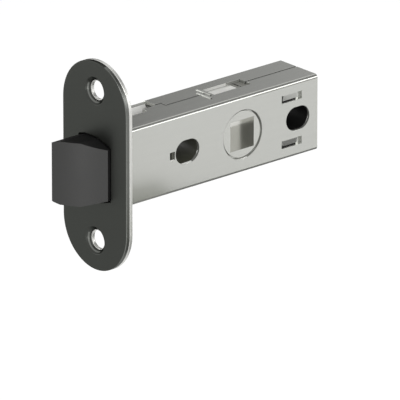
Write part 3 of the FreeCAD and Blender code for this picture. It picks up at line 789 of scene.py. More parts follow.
@dataclass
class FrontPlates(SubAssembly):
    """The coated faceplate and the bright backing plate behind it.

    Attributes:
        sink_band: The countersink's inner band, as shares of its reach inwards and down.
        crescent: Distances from a screw's axis between which that band gets the lighter coat of painted
            highlight.
    """

    half_straight: float = 16.0
    end_radius: float = 12.5
    face_thickness: float = 1.1
    backing_thickness: float = 1.0
    edge_radius: float = 0.16
    screw_height: float = 20.5
    face_hole: float = 2.7
    backing_hole: float = 2.5
    backing_hole_edge: float = 0.12
    sink_radius: float = 3.7
    sink_soft: float = 0.12
    sink_lip: float = 0.1
    sink_band: tuple[Flat, Flat] = ((0.62, 0.39), (0.3, 0.68))
    crescent: Flat = (3.05, 3.28)
    bolt: BoltSection = BoltSection()
    aperture_gap: float = 0.35
    aperture_corner: float = 0.25
    aperture_edge: float = 0.1
    near_edge: float = -4.0
    near_tilt: float = -0.2
    front_tilt: float = -0.97
    crescent_tilt: float = 0.3

    def sunk_wall(self) -> list[Flat]:
        """Profile of a countersunk screw hole, from the face inwards.

        Returns:
            The profile.
        """
        reach, soft, lip = self.sink_radius - self.face_hole, self.sink_soft, self.sink_lip
        band = [(across * reach, down * reach) for across, down in self.sink_band]
        return [(reach + soft + FLAT_RING, 0.0), (reach + soft, 0.0), (reach + soft / 3, lip / 5),
                (reach - soft / 2, lip), *band, (soft / 2, reach - lip), (0.0, reach),
                (0.0, self.face_thickness)]

    def plate(self, name: str, start: float, thickness: float, screw: float,
              screw_wall: list[Flat]) -> Piece:
        """One of the two plates.

        Args:
            name: Name of the piece.
            start: Where its front face lies.
            thickness: Its thickness.
            screw: Radius of its screw holes.
            screw_wall: Profile of their walls.

        Returns:
            The plate.
        """
        aperture = rounded(self.bolt.opening(self.aperture_gap), self.aperture_corner)
        rims = [Rim(stadium((0.0, 0.0), self.half_straight, self.end_radius, True),
                    soft_wall(thickness, self.edge_radius)),
                Rim(hole(aperture), soft_wall(thickness, self.aperture_edge))]
        rims += [Rim(hole(circle((0.0, side * self.screw_height), screw)), screw_wall) for side in (1, -1)]
        return piece_of(name, plate_mesh(rims, on_face(start)))

    def painted_highlight(self, centre: Vector, normal: Vector) -> int:
        """Whether a face gets the lighter coat that paints a highlight.

        Args:
            centre: Centre of the face in millimetres.
            normal: Direction that it faces.

        Returns:
            1 on the plate's near edge and on a crescent of each countersink, where the highlight is painted,
            and otherwise 0.
        """
        from_screw = math.hypot(centre.y, abs(centre.z) - self.screw_height)
        low, high = self.crescent
        turned = normal.y < self.crescent_tilt and normal.z > -self.crescent_tilt
        near = centre.y < self.near_edge and normal.y < self.near_tilt
        return int(normal.x > self.front_tilt and (near or (turned and low < from_screw < high)))

    def build(self) -> None:
        """Make both plates."""
        face = self.plate("faceplate_skin", 0.0, self.face_thickness, self.face_hole, self.sunk_wall())
        self.publish(face, DARK_COATING, Body.CASE, "faceplate")
        # The near edge and a crescent of each countersink get the lighter coat: painted highlight.
        self.trim([PAINTED_HIGHLIGHT_COATING], self.painted_highlight)
        back = self.plate("backing_skin", self.face_thickness, self.backing_thickness, self.backing_hole,
                          soft_wall(self.backing_thickness, self.backing_hole_edge))
        self.publish(back, ZINC_SHEET, Body.CASE, "backing_plate")


@dataclass
class FoldedCase(SubAssembly):
    """Case folded from one sheet, with its seam on top."""

    half_width: float = 7.6
    half_height: float = 10.5
    wall: float = 0.8
    bend: float = 0.95
    bend_steps: int = 8
    start: float = 2.1
    end: float = 70.2
    tab_start: float = 1.15
    tab_levels: tuple[Flat, Flat] = ((3.5, 7.5), (-7.5, -3.5))
    seam: float = 0.45
    gap: float = 0.4
    tongue: Flat = (18.4, 24.7)
    tongue_width: float = 2.0
    flange_start: float = 23.0
    far_top: float = 10.0
    window: Flat = (39.6, 52.4)
    window_side: Flat = (-1.6, 3.1)
    slot_radius: float = 3.2
    bore: float = 6.7
    bore_edge: float = 0.15
    locating: tuple[Flat, Flat] = ((19.1, -1.3), (20.8, 0.9))
    lance: Flat = (57.7, 63.1)
    lance_window: float = 64.7
    lance_slit: float = 0.52
    lance_level: float = 6.25
    lance_height: float = 2.1
    lance_sink: float = 0.3
    web_depth: float = 0.14
    web_margin: Flat = (0.1, 0.25)
    rib_count: int = 2
    rib_start: Solid = (36.6, -3.5, 10.5)
    rib_step: Solid = (1.6, 2.0, 0.0)
    rib_size: Flat = (0.7, 5.8)
    rib_wall: tuple[Flat, ...] = ((0.25, 0.3), (0.22, 0.3), (0.1, 0.24), (0.0, 0.08), (0.0, -0.2))
    crisp: float = 0.03
    soft: float = 0.07
    sheet_corner: float = 0.08
    hole_corner: float = 0.2
    web_corner: float = 0.1
    recess_corner: float = 0.05
    rib_corner: float = 0.3
    face_tilt: float = 0.98
    edge_tilt: float = 0.7
    inner_share: float = 0.6
    lip_margin: float = 0.1
    # Flat inside faces before this place get the paler finish of painted light.
    painted_light_end: float = 57.0
    tail_end: float = 47.6
    recess_start: float = 49.1
    recess_slit: Flat = (50.05, 50.5)
    recess_depth: float = 0.07
    recess_overlap: float = 0.2
    recess_band: float = 0.045

    def __post_init__(self) -> None:
        """Work out the lengths along the sheet."""
        self.top_run = self.seam + self.half_width - self.bend
        self.turn = math.pi / 2 * self.bend
        self.side_run = 2 * (self.half_height - self.bend)
        self.floor_run = 2 * (self.half_width - self.bend)
        self.near_start = self.top_run + self.turn
        self.floor_start = self.near_start + self.side_run + self.turn
        self.far_start = self.floor_start + self.floor_run + self.turn
        self.flange = self.far_start + self.side_run + self.turn
        self.lance_levels = (self.lance_level, -self.lance_level)
        self.recess_top = self.half_height - self.wall - HAIR

    def near_at(self, height: float) -> float:
        """Length along the sheet to a height on the near wall."""
        return self.near_start + self.half_height - self.bend - height

    def far_at(self, height: float) -> float:
        """Length along the sheet to a height on the far wall."""
        return self.far_start + height + self.half_height - self.bend

    def floor_at(self, side: float) -> float:
        """Length along the sheet to a side place on the underside."""
        return self.floor_start + side + self.half_width - self.bend

    def far_top_at(self, side: float) -> float:
        """Length along the sheet to a side place on the far top flange."""
        return self.flange + self.half_width - self.bend - side

    def folded(self, length: float, depth: float) -> Flat:
        """Fold one point of the sheet, following straight runs and bends in turn.

        Args:
            length: Length along the sheet.
            depth: Depth below its outer side.

        Returns:
            The point's place in Y and Z.
        """
        y, z, heading = self.seam, self.half_height, 180.0
        left = length
        runs = (self.top_run, self.turn, self.side_run, self.turn, self.floor_run, self.turn,
                self.side_run, self.turn, math.inf)
        for number, run in enumerate(runs):
            used = min(left, run)
            if number % 2 == 0:
                y += used * math.cos(math.radians(heading))
                z += used * math.sin(math.radians(heading))
            else:
                inward = math.radians(heading + 90.0)
                centre = (y + self.bend * math.cos(inward), z + self.bend * math.sin(inward))
                heading += math.degrees(used / self.bend)
                outward = math.radians(heading - 90.0)
                y = centre[0] + self.bend * math.cos(outward)
                z = centre[1] + self.bend * math.sin(outward)
            left -= used
            if left <= 0:
                break
        inward = math.radians(heading + 90.0)
        return y + depth * math.cos(inward), z + depth * math.sin(inward)

    def outline(self) -> list[Flat]:
        """Flat outline of the sheet in X and length along it.

        Returns:
            The outline's corners.
        """
        (tongue_start, tongue_end), (window_start, window_end) = self.tongue, self.window
        far_edge = self.far_top_at(self.seam + self.gap)
        cut = self.far_start + self.side_run + self.bend * math.asin(
            (self.far_top - self.half_height + self.bend) / self.bend)
        legs = [(tongue_start, -self.tongue_width), (tongue_end, 0.0),
                (window_start, self.seam - self.window_side[0]), (window_end, 0.0), (self.end, far_edge),
                (window_end, self.far_top_at(self.window_side[1])), (window_start, far_edge),
                (tongue_end + self.gap, self.far_top_at(self.seam + self.tongue_width + self.gap)),
                (self.flange_start, cut)]
        tabs = [(self.far_at(high), self.far_at(low)) for low, high in self.tab_levels]
        tabs += [(self.near_at(low), self.near_at(high)) for low, high in reversed(self.tab_levels)]
        for first, last in tabs:
            legs += [(self.start, first), (self.tab_start, last)]
        points, length = [(self.start, 0.0)], 0.0
        for x, after in legs:
            points += [(x, length), (x, after)]
            length = after
        return [*points, (self.start, length)]

    def lance_loop(self, level: float, at: Callable[[float], float]) -> list[Flat]:
        """Slit and window round one lanced tongue.

        Args:
            level: Height of the tongue's middle.
            at: Turns a height into a length along the sheet.

        Returns:
            The outline in X and length along the sheet.
        """
        low, high = level - self.lance_height / 2, level + self.lance_height / 2
        edge = low + self.lance_slit
        first, last = self.lance
        corners = [(first, low), (self.lance_window, low), (self.lance_window, high), (last, high),
                   (last, edge), (first + self.lance_slit, edge), (first + self.lance_slit, high),
                   (first, high)]
        return [(x, at(z)) for x, z in corners]

    def opening(self, points: list[Flat], soft: float) -> Rim:
        """Rim of one opening, whichever way its outline was drawn."""
        return Rim(points if signed_area(points) < 0 else hole(points), soft_wall(self.wall, soft, 2))

    def wall_rims(self, at: Callable[[float], float]) -> list[Rim]:
        """Rims of the holes that both side walls have.

        Args:
            at: Turns a height on the wall into a length along the sheet.

        Returns:
            The rims.
        """
        rims = [self.opening(stadium((x, at(0.0)), HOLE_STRAIGHT, self.slot_radius, False), self.soft)
                for x in THROUGH_HOLES]
        rims.append(self.opening(circle((BACKSET, at(0.0)), self.bore), self.bore_edge))
        return rims + [self.opening(rounded(self.lance_loop(level, at), 2 * self.crisp, 2), self.crisp)
                       for level in self.lance_levels]

    def sunk(self, x: float, length: float) -> float:
        """How far a point of the sheet is pressed in by a lanced tongue.

        Args:
            x: Place along the case.
            length: Length along the sheet.

        Returns:
            The depth, which grows from a tongue's root to its free edge.
        """
        if not self.lance[0] + self.lance_slit - HAIR <= x <= self.lance[1] + HAIR:
            return 0.0
        for at in (self.near_at, self.far_at):
            for level in self.lance_levels:
                root = at(level + self.lance_height / 2)
                edge = at(level - self.lance_height / 2 + self.lance_slit)
                share = (length - root) / (edge - root)
                if 0.0 < share <= 1.0 + 2 * HAIR:
                    return self.lance_sink * share
        return 0.0

    def sheet(self) -> Shape:
        """The folded sheet.

        Returns:
            The sheet in millimetres.
        """
        low, high = zip(self.window, self.window_side)
        rims = [Rim(rounded(self.outline(), self.sheet_corner, 2), soft_wall(self.wall, self.crisp, 2))]
        rims += self.wall_rims(self.near_at)
        locating = [(x, self.near_at(z)) for x, z in rectangle(*self.locating)]
        rims.append(self.opening(rounded(locating, self.hole_corner), self.soft))
        rims += self.wall_rims(self.far_at)
        floor = [(x, self.floor_at(y)) for x, y in rectangle(low, high)]
        rims.append(self.opening(rounded(floor, self.hole_corner), self.crisp))
        mesh = plate_mesh(rims, lambda u, v, depth: (u, v, depth))
        bends = (self.top_run, self.near_start + self.side_run,
                 self.floor_start + self.floor_run, self.far_start + self.side_run)
        cuts = [first + self.turn * step / self.bend_steps
                for first in bends for step in range(self.bend_steps + 1)]
        cuts += [at(level + self.lance_height / 2) for at in (self.near_at, self.far_at)
                 for level in self.lance_levels]
        for plane in [*(Vector((0.0, cut, 0.0)) for cut in cuts), Vector((self.tail_end, 0.0, 0.0))]:
            bmesh.ops.bisect_plane(mesh, geom=mesh.verts[:] + mesh.edges[:] + mesh.faces[:],
                                   plane_co=plane, plane_no=plane.normalized())
        for vertex in mesh.verts:
            x, length, depth = vertex.co
            vertex.co = (x, *self.folded(length, depth + self.sunk(x, length)))
        bmesh.ops.recalc_face_normals(mesh, faces=mesh.faces)
        return mesh

    def webs(self) -> list[Shape]:
        """Thin webs behind the tongues' windows, and the slit floor of the top window's recess.

        Returns:
            The webs and the floor's two parts.
        """
        webs = []
        inner, (along, up) = self.half_width - self.wall, self.web_margin
        for start in (inner - self.web_depth + self.crisp, -inner - self.crisp):
            for level in self.lance_levels:
                low = (self.lance[1] + along, level - self.lance_height / 2 - up)
                high = (self.lance_window + up, level + self.lance_height / 2 + up)
                rim = Rim(rounded(rectangle(low, high), self.web_corner),
                          soft_wall(self.web_depth, self.crisp, 2))
                webs.append(plate_mesh([rim], on_side(start)))
        near, far = self.window_side[0] - self.recess_overlap, self.window_side[1] + self.recess_overlap
        for first, last in ((self.recess_start, self.recess_slit[0]),
                            (self.recess_slit[1], self.window[1] + self.recess_overlap)):
            rim = Rim(rounded(rectangle((first, near), (last, far)), self.recess_corner),
                      soft_wall(self.recess_depth, 2 * HAIR, 2))
            webs.append(plate_mesh([rim], on_top(self.recess_top)))
        return webs

    def ribs(self) -> Shape:
        """The row of raised ribs.

        Returns:
            The ribs in millimetres.
        """
        x, y, z = self.rib_start
        width, length = self.rib_size
        corners = rounded(rectangle((x, y), (x + width, y + length)), self.rib_corner)
        rib = plate_mesh([Rim(corners, list(self.rib_wall))], on_top(z, -1.0))
        row = grown("ribs", to_mesh("rib", [rib]), Growth.ROW, {
            "Count": self.rib_count, "Step": Vector(self.rib_step) * MM, "Material": CASE_SHEET.material()})
        mesh = bmesh.new()
        mesh.from_mesh(row.data)
        bmesh.ops.scale(mesh, vec=(1 / MM,) * 3, verts=mesh.verts)
        bpy.data.objects.remove(row)
        return mesh

    def painted_light_and_shade(self, centre: Vector, normal: Vector) -> int:
        """Which finish a face of the case gets, some of them painting light or shade.

        Args:
            centre: Centre of the face in millimetres.
            normal: Direction that it faces.

        Returns:
            0 for the sheet, 1 for its inside (paler, painted light), 2 for cut edges on top (dark, painted
            shade), 3 for the window's lip over the tail (paler, painted light) and 4 for the floor of the
            window's recess (dark, painted shade).
        """
        if (abs(centre.z - self.half_height + self.wall + self.recess_band) < self.recess_band
                and centre.x > self.tail_end):
            # Floor of the window's recess: painted shade.
            return 4
        if abs(centre.y) >= self.half_width - self.wall / 2:
            return 0
        if abs(centre.z) < self.half_height - self.inner_share * self.wall:
            # Flat inside faces near the front are painted paler: painted light.
            return int(max(abs(normal.y), abs(normal.z)) > self.face_tilt and centre.x < self.painted_light_end)
        if centre.z <= 0.0 or abs(normal.y) <= self.edge_tilt:
            return 0
        if not self.window[0] - self.lip_margin < centre.x < self.window[1] - self.lip_margin:
            # Cut edges on top are painted dark: painted shade.
            return 2
        # The window's far lip over the tail is painted paler: painted light.
        return 3 if centre.x < self.tail_end and normal.y < 0.0 else 0

    def build(self) -> None:
        """Make the case with its ribs and webs."""
        ribs = self.ribs()
        self.publish(piece_of("case_shell", self.sheet(), ribs, *self.webs()), CASE_SHEET, Body.CASE, "case")
        # Inner faces and the window's lip get paler finishes as painted light, and the cut edges and the
        # recess floor dark ones as painted shade.
        self.trim([PAINTED_LIGHT_INSIDE, PAINTED_SHADE_EDGES, PAINTED_LIGHT_LIP, PAINTED_SHADE_RECESS], self.painted_light_and_shade)


@dataclass
class BoltHead(SubAssembly):
    """Bevelled bolt with its guide block, spring pocket and rivet holes."""

    section: BoltSection = BoltSection()
    land: float = 0.5
    near_rise: float = 0.7
    bevel_radius: float = 28.5
    guide_start: float = 2.25
    guide_overlap: float = 0.5
    back: float = 8.0
    guide_half: Flat = (6.7, 9.6)
    guide_corner: float = 0.3
    guide_edge: float = 0.2
    pocket: Flat = (3.4, 9.0)
    rivet_offset: float = 4.95
    rivet: Flat = (1.03, 4.05)
    cutter_reach: float = 0.5
    cutter_sides: int = 48
    edge: float = 0.22
    edge_angle: float = math.radians(14)
    stations: int = 48

    def nose(self, side: float) -> float:
        """Where the round bevel lies.

        Args:
            side: Place across the bolt.

        Returns:
            The place along X.
        """
        first = Vector((-TRAVEL, self.section.half_width - self.land))
        last = Vector((-self.near_rise, -self.section.half_width))
        chord = last - first
        rise = math.sqrt(self.bevel_radius ** 2 - (chord.length / 2) ** 2)
        centre = first + chord / 2 + Vector((-chord.y, chord.x)).normalized() * rise
        if side >= first.y:
            return first.x
        return centre.x - math.sqrt(max(self.bevel_radius ** 2 - (side - centre.y) ** 2, 0.0))

    def head(self) -> Shape:
        """Head and neck, as slices across Y.

        Returns:
            The head in millimetres.
        """
        mesh = bmesh.new()
        section, neck = self.section, self.guide_start + self.guide_overlap
        low, high = -section.half_width, section.half_width
        sides = [low + (high - self.land - low) * step / self.stations for step in range(self.stations + 1)]
        slices = []
        for side in sorted({*sides, -section.inner, section.outer, high - self.land / 2, high}):
            top, bottom = section.top - section.drop(side), section.bottom + section.drop(side)
            front = self.nose(side)
            slices.append([mesh.verts.new((x, side, z)) for x, z in (
                (front, bottom), (neck, bottom), (neck, top), (front, top))])
        bridge(mesh, slices)
        mesh.faces.new(slices[0])
        mesh.faces.new(slices[-1])
        bmesh.ops.recalc_face_normals(mesh, faces=mesh.faces)
        return mesh

    def guide(self) -> Shape:
        """Block that runs in the case.

        Returns:
            The block in millimetres.
        """
        across, up = self.guide_half
        outer = rounded(rectangle((-across, -up), (across, up)), self.guide_corner)
        wall = soft_wall(self.back - self.guide_start, self.guide_edge)
        return plate_mesh([Rim(outer, wall)], on_face(self.guide_start))

    def bores(self) -> Shape:
        """Shapes to cut away for the pocket and the rivets.

        Returns:
            The shapes in millimetres.
        """
        axis = (self.section.top + self.section.bottom) / 2
        cutters = bmesh.new()
        for level, (radius, depth) in ((axis, self.pocket), (axis + self.rivet_offset, self.rivet),
                                       (axis - self.rivet_offset, self.rivet)):
            place = Matrix.Translation((self.back - depth / 2 + self.cutter_reach, 0.0, level))
            bmesh.ops.create_cone(cutters, cap_ends=True, segments=self.cutter_sides, radius1=radius,
                                  radius2=radius, depth=depth + 2 * self.cutter_reach,
                                  matrix=place @ Matrix.Rotation(math.pi / 2, 4, "Y"))
        return cutters

    def build(self) -> None:
        """Make the bolt."""
        bolt = new_piece("bolt_head", to_mesh("bolt_head", [self.head()]))
        helpers = []
        for name, shape, operation in (("guide", self.guide(), "UNION"),
                                       ("bores", self.bores(), "DIFFERENCE")):
            helpers.append(new_piece(name, to_mesh(name, [shape])))
            joint = bolt.modifiers.new(name, "BOOLEAN")
            joint.operation = operation
            joint.solver = "EXACT"
            joint.object = helpers[-1]
        soften = bolt.modifiers.new("soft_edges", "BEVEL")
        soften.width = self.edge * MM
        soften.segments = 3
        soften.limit_method = "ANGLE"
        soften.angle_limit = self.edge_angle
        settled(bolt)
        for helper in helpers:
            bpy.data.objects.remove(helper)
        self.publish(smoothed(bolt), BOLT_CASTING, Body.BOLT, "latch_bolt")


@dataclass
class Follower(SubAssembly):
    """Turned hub with the spindle's square."""

    square: float = 8.1
    square_edge: float = 0.05
    boss: float = 6.36
    play: Flat = (-0.12, 0.08)
    collar: float = 7.4
    collar_span: Flat = (-6.7, 0.45)
    outer: float = 7.6
    cam_end: float = 3.15
    flat: float = 5.9
    sunk: float = 0.3
    soft: float = 0.06
    facets: int = 96

    def broached(self, centre: Vector, normal: Vector) -> int:
        """1 for a face of the square's walls, and otherwise 0."""
        reach = max(abs(centre.x - BACKSET), abs(centre.z))
        return int(reach < self.square / 2 + HAIR and abs(normal.y) < 0.3)

    def build(self) -> None:
        """Make the hub, whose ends lie a little below the case's sides."""
        start, length = -self.outer + self.sunk, 2 * (self.outer - self.sunk)
        shoulder, collar, cam = (place - start for place in (*self.collar_span, self.cam_end))
        step = self.boss - self.collar
        front = [(self.soft + FLAT_RING, 0.0), (self.soft, 0.0), (self.soft * 0.3, self.soft * 0.3),
                 (0.0, self.soft)]
        wall = front + [(0.0, shoulder), (step, shoulder + HAIR), (step, collar), (0.0, collar + HAIR)]
        flats = {len(wall): self.flat, len(wall) + 1: self.flat}
        wall += [(0.0, collar + 2 * HAIR), (0.0, cam), (0.0, cam + HAIR)]
        wall += [(side, length - depth) for side, depth in reversed(front)]
        outline = circle((BACKSET + self.play[0], self.play[1]), self.boss, self.facets)
        half = self.square / 2
        opening = hole(rectangle((BACKSET - half, -half), (BACKSET + half, half)))
        rims = [Rim(outline, wall, flats), Rim(opening, soft_wall(length, self.square_edge))]
        hub = piece_of("follower_turned", plate_mesh(rims, on_side(start)))
        self.publish(hub, FOLLOWER_CASTING, Body.FOLLOWER, "follower_hub")
        self.trim([BROACHED_WALL], self.broached)


@dataclass
class Mouldings(SubAssembly):
    """Moulded blocks round the through-holes and the plate that closes the case."""

    half_width: float = 6.7
    bore: float = 3.3
    block_corner: float = 0.5
    block_edge: float = 0.25
    front: tuple[Flat, Flat] = ((19.95, -4.6), (30.25, 4.6))
    rear: tuple[Flat, Flat] = ((57.9, -6.4), (68.55, 6.4))
    lug: tuple[Flat, Flat] = ((19.95, -1.2), (20.7, 0.8))
    lug_depth: float = 0.6
    lug_root: float = 0.2
    lug_corner: float = 0.1
    lug_edge: float = 0.08
    end_plate: Flat = (68.6, 69.8)
    end_half: Flat = (6.7, 9.6)
    end_corner: float = 0.3
    end_edge: float = 0.12

    def block(self, corners: tuple[Flat, Flat], centre: float) -> Shape:
        """Block with a long bore through it.

        Args:
            corners: Its low and high corner in X and Z.
            centre: Where its bore lies.

        Returns:
            The block.
        """
        bore = hole(stadium((centre, 0.0), HOLE_STRAIGHT, self.bore, False))
        wall = soft_wall(2 * self.half_width, self.block_edge)
        outer = rounded(rectangle(*corners), self.block_corner)
        return plate_mesh([Rim(outer, wall), Rim(bore, wall)], on_side(-self.half_width))

    def build(self) -> None:
        """Make the blocks and the end plate."""
        lug_rim = Rim(rounded(rectangle(*self.lug), self.lug_corner),
                      soft_wall(self.lug_depth + self.lug_root, self.lug_edge))
        lug = plate_mesh([lug_rim], on_side(-self.half_width - self.lug_depth))
        front = piece_of("front_block", self.block(self.front, THROUGH_HOLES[0]), lug)
        # The front block gets the lighter moulding as painted light in its bore; the rear block keeps the
        # black one.
        self.publish(front, PAINTED_LIGHT_MOULDING, Body.CASE, "front_spacer")
        rear = piece_of("rear_block", self.block(self.rear, THROUGH_HOLES[1]))
        self.publish(rear, BLACK_MOULDING, Body.CASE, "rear_spacer")
        (across, up), (start, end) = self.end_half, self.end_plate
        outer = Rim(rounded(rectangle((-across, -up), (across, up)), self.end_corner),
                    soft_wall(end - start, self.end_edge))
        cover = piece_of("end_cover", plate_mesh([outer], on_face(start)))
        self.publish(cover, CASE_SHEET, Body.CASE, "end_plate")


@dataclass(frozen=True)
class Coil:
    """One spring along X, with the radius of its turns and wire, its axis in Y and Z and its fixed seat."""

    name: str
    node: str
    span: Flat
    mean: float
    wire: float
    turns: float
    axis: Flat
    seat: float

    def wound(self, steps_per_turn: int) -> Piece:
        """The spring as a piece.

        Args:
            steps_per_turn: Number of straight pieces in a turn.

        Returns:
            The piece.
        """
        start, end = self.span
        spring = grown(self.name, bpy.data.meshes.new(self.name), Growth.COIL, {
            "Turns": self.turns, "Mean Radius": self.mean * MM, "Wire Radius": self.wire * MM,
            "Height": (end - start - 2 * self.wire) * MM, "Steps": round(self.turns * steps_per_turn),
            "Material": SPRING_WIRE.material()})
        place = Matrix.Translation(Vector((start + self.wire, *self.axis)) * MM)
        spring.data.transform(place @ Matrix.Rotation(math.pi / 2, 4, "Y"))
        return smoothed(spring)


@dataclass
class Springs(SubAssembly):
    """The main spring and the two return springs."""

    coils: tuple[Coil, ...] = (
        Coil("main_coil", "bolt_spring", (-0.95, 19.05), 2.75, 0.3, 9.0, (0.0, -0.95), 19.1),
        Coil("upper_coil", "tail_springs", (49.55, 68.55), 1.14, 0.22, 10.0, (1.2, 8.24), 68.6),
        Coil("lower_coil", "tail_springs", (49.55, 68.55), 1.14, 0.22, 10.0, (1.2, -8.24), 68.6))
    steps_per_turn: int = 28

    def build(self) -> None:
        """Make the three springs."""
        for coil in self.coils:
            spring, seat = coil.wound(self.steps_per_turn), coil.seat
            self.publish(spring, SPRING_WIRE, Body.CASE, coil.node)
            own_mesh(spring)


@dataclass
class HiddenWorks(SubAssembly):
    """Nodes of the frame whose own shape is right, and which only get a finish."""

    nodes: dict[str, Piece]
    finishes: dict[str, Finish] = field(default_factory=lambda: {
        # The tail gets the less metallic zinc: painted light.
        "bolt_tail": TAIL_SHEET,
        "tail_rivets": ZINC_SHEET,
        "spring_guide": ZINC_SHEET,
        "spring_pins": ZINC_SHEET,
        "follower_cam": ZINC_SHEET,
        "hub_bush": BLACK_MOULDING,
    })

    def build(self) -> None:
        """Give each node its finish."""
        for name, finish in self.finishes.items():
            piece = self.nodes[name]
            piece.data.materials.clear()
            piece.data.materials.append(finish.material())
            piece.modifiers.new("crisp_edges", "EDGE_SPLIT").split_angle = SHARP_ANGLE
            piece.modifiers.new("flat_faces", "WEIGHTED_NORMAL")
            self.made.append(piece)


# Studio


@dataclass(frozen=True)
class Card:
    """Card that only shows in reflections.

    Attributes:
        name: Name of the card.
        toward: Direction from the latch's middle.
        distance: Distance from it.
        size: Width and height.
        front: Its colour where the latch's front end mirrors it.
        rear: Its colour where the latch's rear end mirrors it.
    """

    name: str
    toward: Solid
    distance: float
    size: Flat
    front: Solid
    rear: Solid


@dataclass(frozen=True)
class Lamp:
    """Square lamp aimed at the latch's middle, with its power in watts."""

    name: str
    place: Solid
    size: float
    power: float


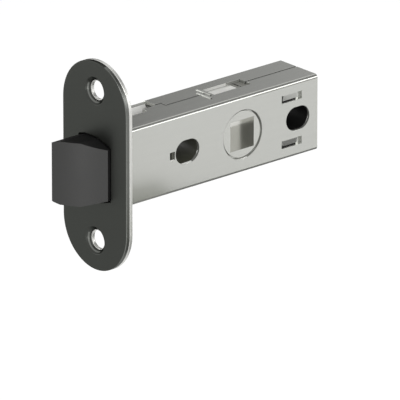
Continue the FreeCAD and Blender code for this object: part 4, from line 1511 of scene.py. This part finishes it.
@dataclass
class Studio:
    """Floor, surroundings, cards, lamps and the camera.

    Attributes:
        floor_glow: How bright the floor seems to the camera, beyond what lights it.
        world_level: Brightness of the surroundings as light, and as seen.
        blend: Where a card's front colour ends and its rear colour starts, along X from its middle.
    """

    azimuth: float = 48.75
    elevation: float = 20.46
    distance: float = 2453.0
    shift_right: float = 27.10
    shift_up: float = -8.78
    lens: float = 858.0
    sensor: float = 36.0
    far_limit: float = 100.0
    middle: Solid = (35.0, 0.0, 0.0)
    floor_level: float = -150.0
    floor_size: float = 8000.0
    floor_color: tuple[float, ...] = (0.6, 0.6, 0.6, 1.0)
    floor_glow: float = 0.42
    world_level: Flat = (0.85, 1.0)
    blend: Flat = (-35.0, 25.0)
    cards: tuple[Card, ...] = (
        Card("back_card", (0.62, 0.70, 0.22), 420.0, (700.0, 290.0), (0.12,) * 3, (0.42,) * 3),
        Card("top_card", (0.618, -0.22, 0.745), 420.0, (290.0, 290.0), (0.0,) * 3, (0.0,) * 3),
        Card("low_card", (6.0, -57.0, -42.0), 71.05, (44.0, 24.0), (0.3, 0.31, 0.26), (0.3, 0.31, 0.26)),
        Card("under_card", (86.0, -46.0, -100.0), 140.0, (150.0, 90.0), (0.06,) * 3, (0.06,) * 3))
    lamps: tuple[Lamp, ...] = (
        Lamp("key", (530.0, -590.0, 235.0), 220.0, 0.6),
        Lamp("fill", (-130.0, -576.0, 528.0), 400.0, 3.0),
        Lamp("front", (-420.0, -225.0, -110.0), 100.0, 0.12),
        Lamp("near", (-120.0, -420.0, -140.0), 120.0, 0.15),
        Lamp("side", (-425.0, 654.0, 0.0), 280.0, 0.9))

    def floor(self) -> None:
        """Plain pale floor below the latch."""
        mesh = bmesh.new()
        bmesh.ops.create_grid(mesh, x_segments=1, y_segments=1, size=self.floor_size)
        bmesh.ops.translate(mesh, vec=(0.0, 0.0, self.floor_level), verts=mesh.verts)
        piece = new_piece("floor", to_mesh("floor", [mesh]))
        material = bpy.data.materials.new("floor_paint")
        material.use_nodes = True
        tree = material.node_tree
        feed(tree, tree.nodes["Principled BSDF"], {
            "Base Color": self.floor_color, "Roughness": 0.9, "Specular IOR Level": 0.0,
            "Emission Color": WHITE, "Emission Strength": view_level(tree, 0.0, self.floor_glow)})
        piece.data.materials.append(material)

    def world(self) -> None:
        """White surroundings."""
        world = bpy.data.worlds.new("white_room")
        world.use_nodes = True
        tree = world.node_tree
        feed(tree, tree.nodes["Background"],
             {"Color": WHITE, "Strength": view_level(tree, *self.world_level)})
        bpy.context.scene.world = world

    def card_paint(self, card: Card, across: float) -> bpy.types.Material:
        """Glowing paint of a card.

        Args:
            card: The card.
            across: Place of its middle along X.

        Returns:
            The material, whose colour runs from the card's front one to its rear one.
        """
        material = bpy.data.materials.new(card.name)
        material.use_nodes = True
        tree = material.node_tree
        place = add_node(tree, "ShaderNodeTexCoord", {})
        parts = add_node(tree, "ShaderNodeSeparateXYZ", {"Vector": place.outputs["Object"]})
        share = add_node(tree, "ShaderNodeMapRange", {
            "Value": parts.outputs["X"], "From Min": (across + self.blend[0]) * MM,
            "From Max": (across + self.blend[1]) * MM})
        tone = add_node(tree, "ShaderNodeMix", {
            "Factor": share.outputs["Result"], "A": (*card.front, 1.0), "B": (*card.rear, 1.0)},
            data_type="RGBA")
        glow = add_node(tree, "ShaderNodeEmission", {"Color": tone.outputs["Result"]})
        feed(tree, tree.nodes["Material Output"], {"Surface": glow.outputs["Emission"]})
        return material

    def hang(self, card: Card) -> None:
        """Put up a card.

        Args:
            card: The card.
        """
        mesh = bmesh.new()
        bmesh.ops.create_grid(mesh, x_segments=1, y_segments=1, size=0.5)
        bmesh.ops.scale(mesh, vec=(*card.size, 1.0), verts=mesh.verts)
        direction = Vector(card.toward).normalized()
        turn = direction.to_track_quat("Z", "Y").to_matrix().to_4x4()
        place = Vector(self.middle) + direction * card.distance
        bmesh.ops.transform(mesh, matrix=Matrix.Translation(place) @ turn, verts=mesh.verts)
        piece = new_piece(card.name, to_mesh(card.name, [mesh]))
        piece.data.materials.append(self.card_paint(card, place.x))
        piece.visible_camera = False
        piece.visible_diffuse = False
        piece.visible_shadow = False

    def light(self, lamp: Lamp) -> None:
        """Set up a lamp.

        Args:
            lamp: The lamp.
        """
        data = bpy.data.lights.new(lamp.name, "AREA")
        data.size = lamp.size * MM
        data.energy = lamp.power
        holder = new_piece(lamp.name, data)
        holder.location = Vector(lamp.place) * MM
        aim = Vector(lamp.place) - Vector(self.middle)
        holder.rotation_euler = aim.to_track_quat("Z", "Y").to_euler()

    def camera(self) -> None:
        """Camera at the photograph's angle."""
        turn, rise = math.radians(self.azimuth), math.radians(self.elevation)
        back = Vector((-math.cos(turn) * math.cos(rise), -math.sin(turn) * math.cos(rise),
                       math.sin(rise)))
        right = Vector((math.sin(turn), -math.cos(turn), 0.0))
        up = back.cross(right)
        data = bpy.data.cameras.new("view")
        data.lens = self.lens
        data.sensor_width = self.sensor
        data.clip_end = self.far_limit
        holder = new_piece("view", data)
        frame = Matrix((right, up, back)).transposed().to_4x4()
        place = right * self.shift_right + up * self.shift_up + back * self.distance
        holder.matrix_world = Matrix.Translation(place * MM) @ frame
        bpy.context.scene.camera = holder

    def build(self) -> None:
        """Set the whole studio."""
        self.floor()
        self.world()
        for card in self.cards:
            self.hang(card)
        for lamp in self.lamps:
            self.light(lamp)
        self.camera()
        bpy.context.scene.view_settings.view_transform = "Standard"


def main() -> None:
    """Build the latch around its frame."""
    logging.basicConfig(level=logging.INFO, format="%(name)s: %(message)s")
    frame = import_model()
    for prepare in (rolled_grain_group, soft_mottle_group, coil_tree, row_tree):
        prepare()
    for assembly in (HiddenWorks(frame["nodes"]), FrontPlates(), FoldedCase(), BoltHead(), Follower(),
                     Mouldings(), Springs()):
        assembly.build()
        for piece in assembly.made:
            log.info("%s has %d faces", piece.name, len(piece.data.polygons))
    Studio().build()


if __name__ == "__main__":
    main()
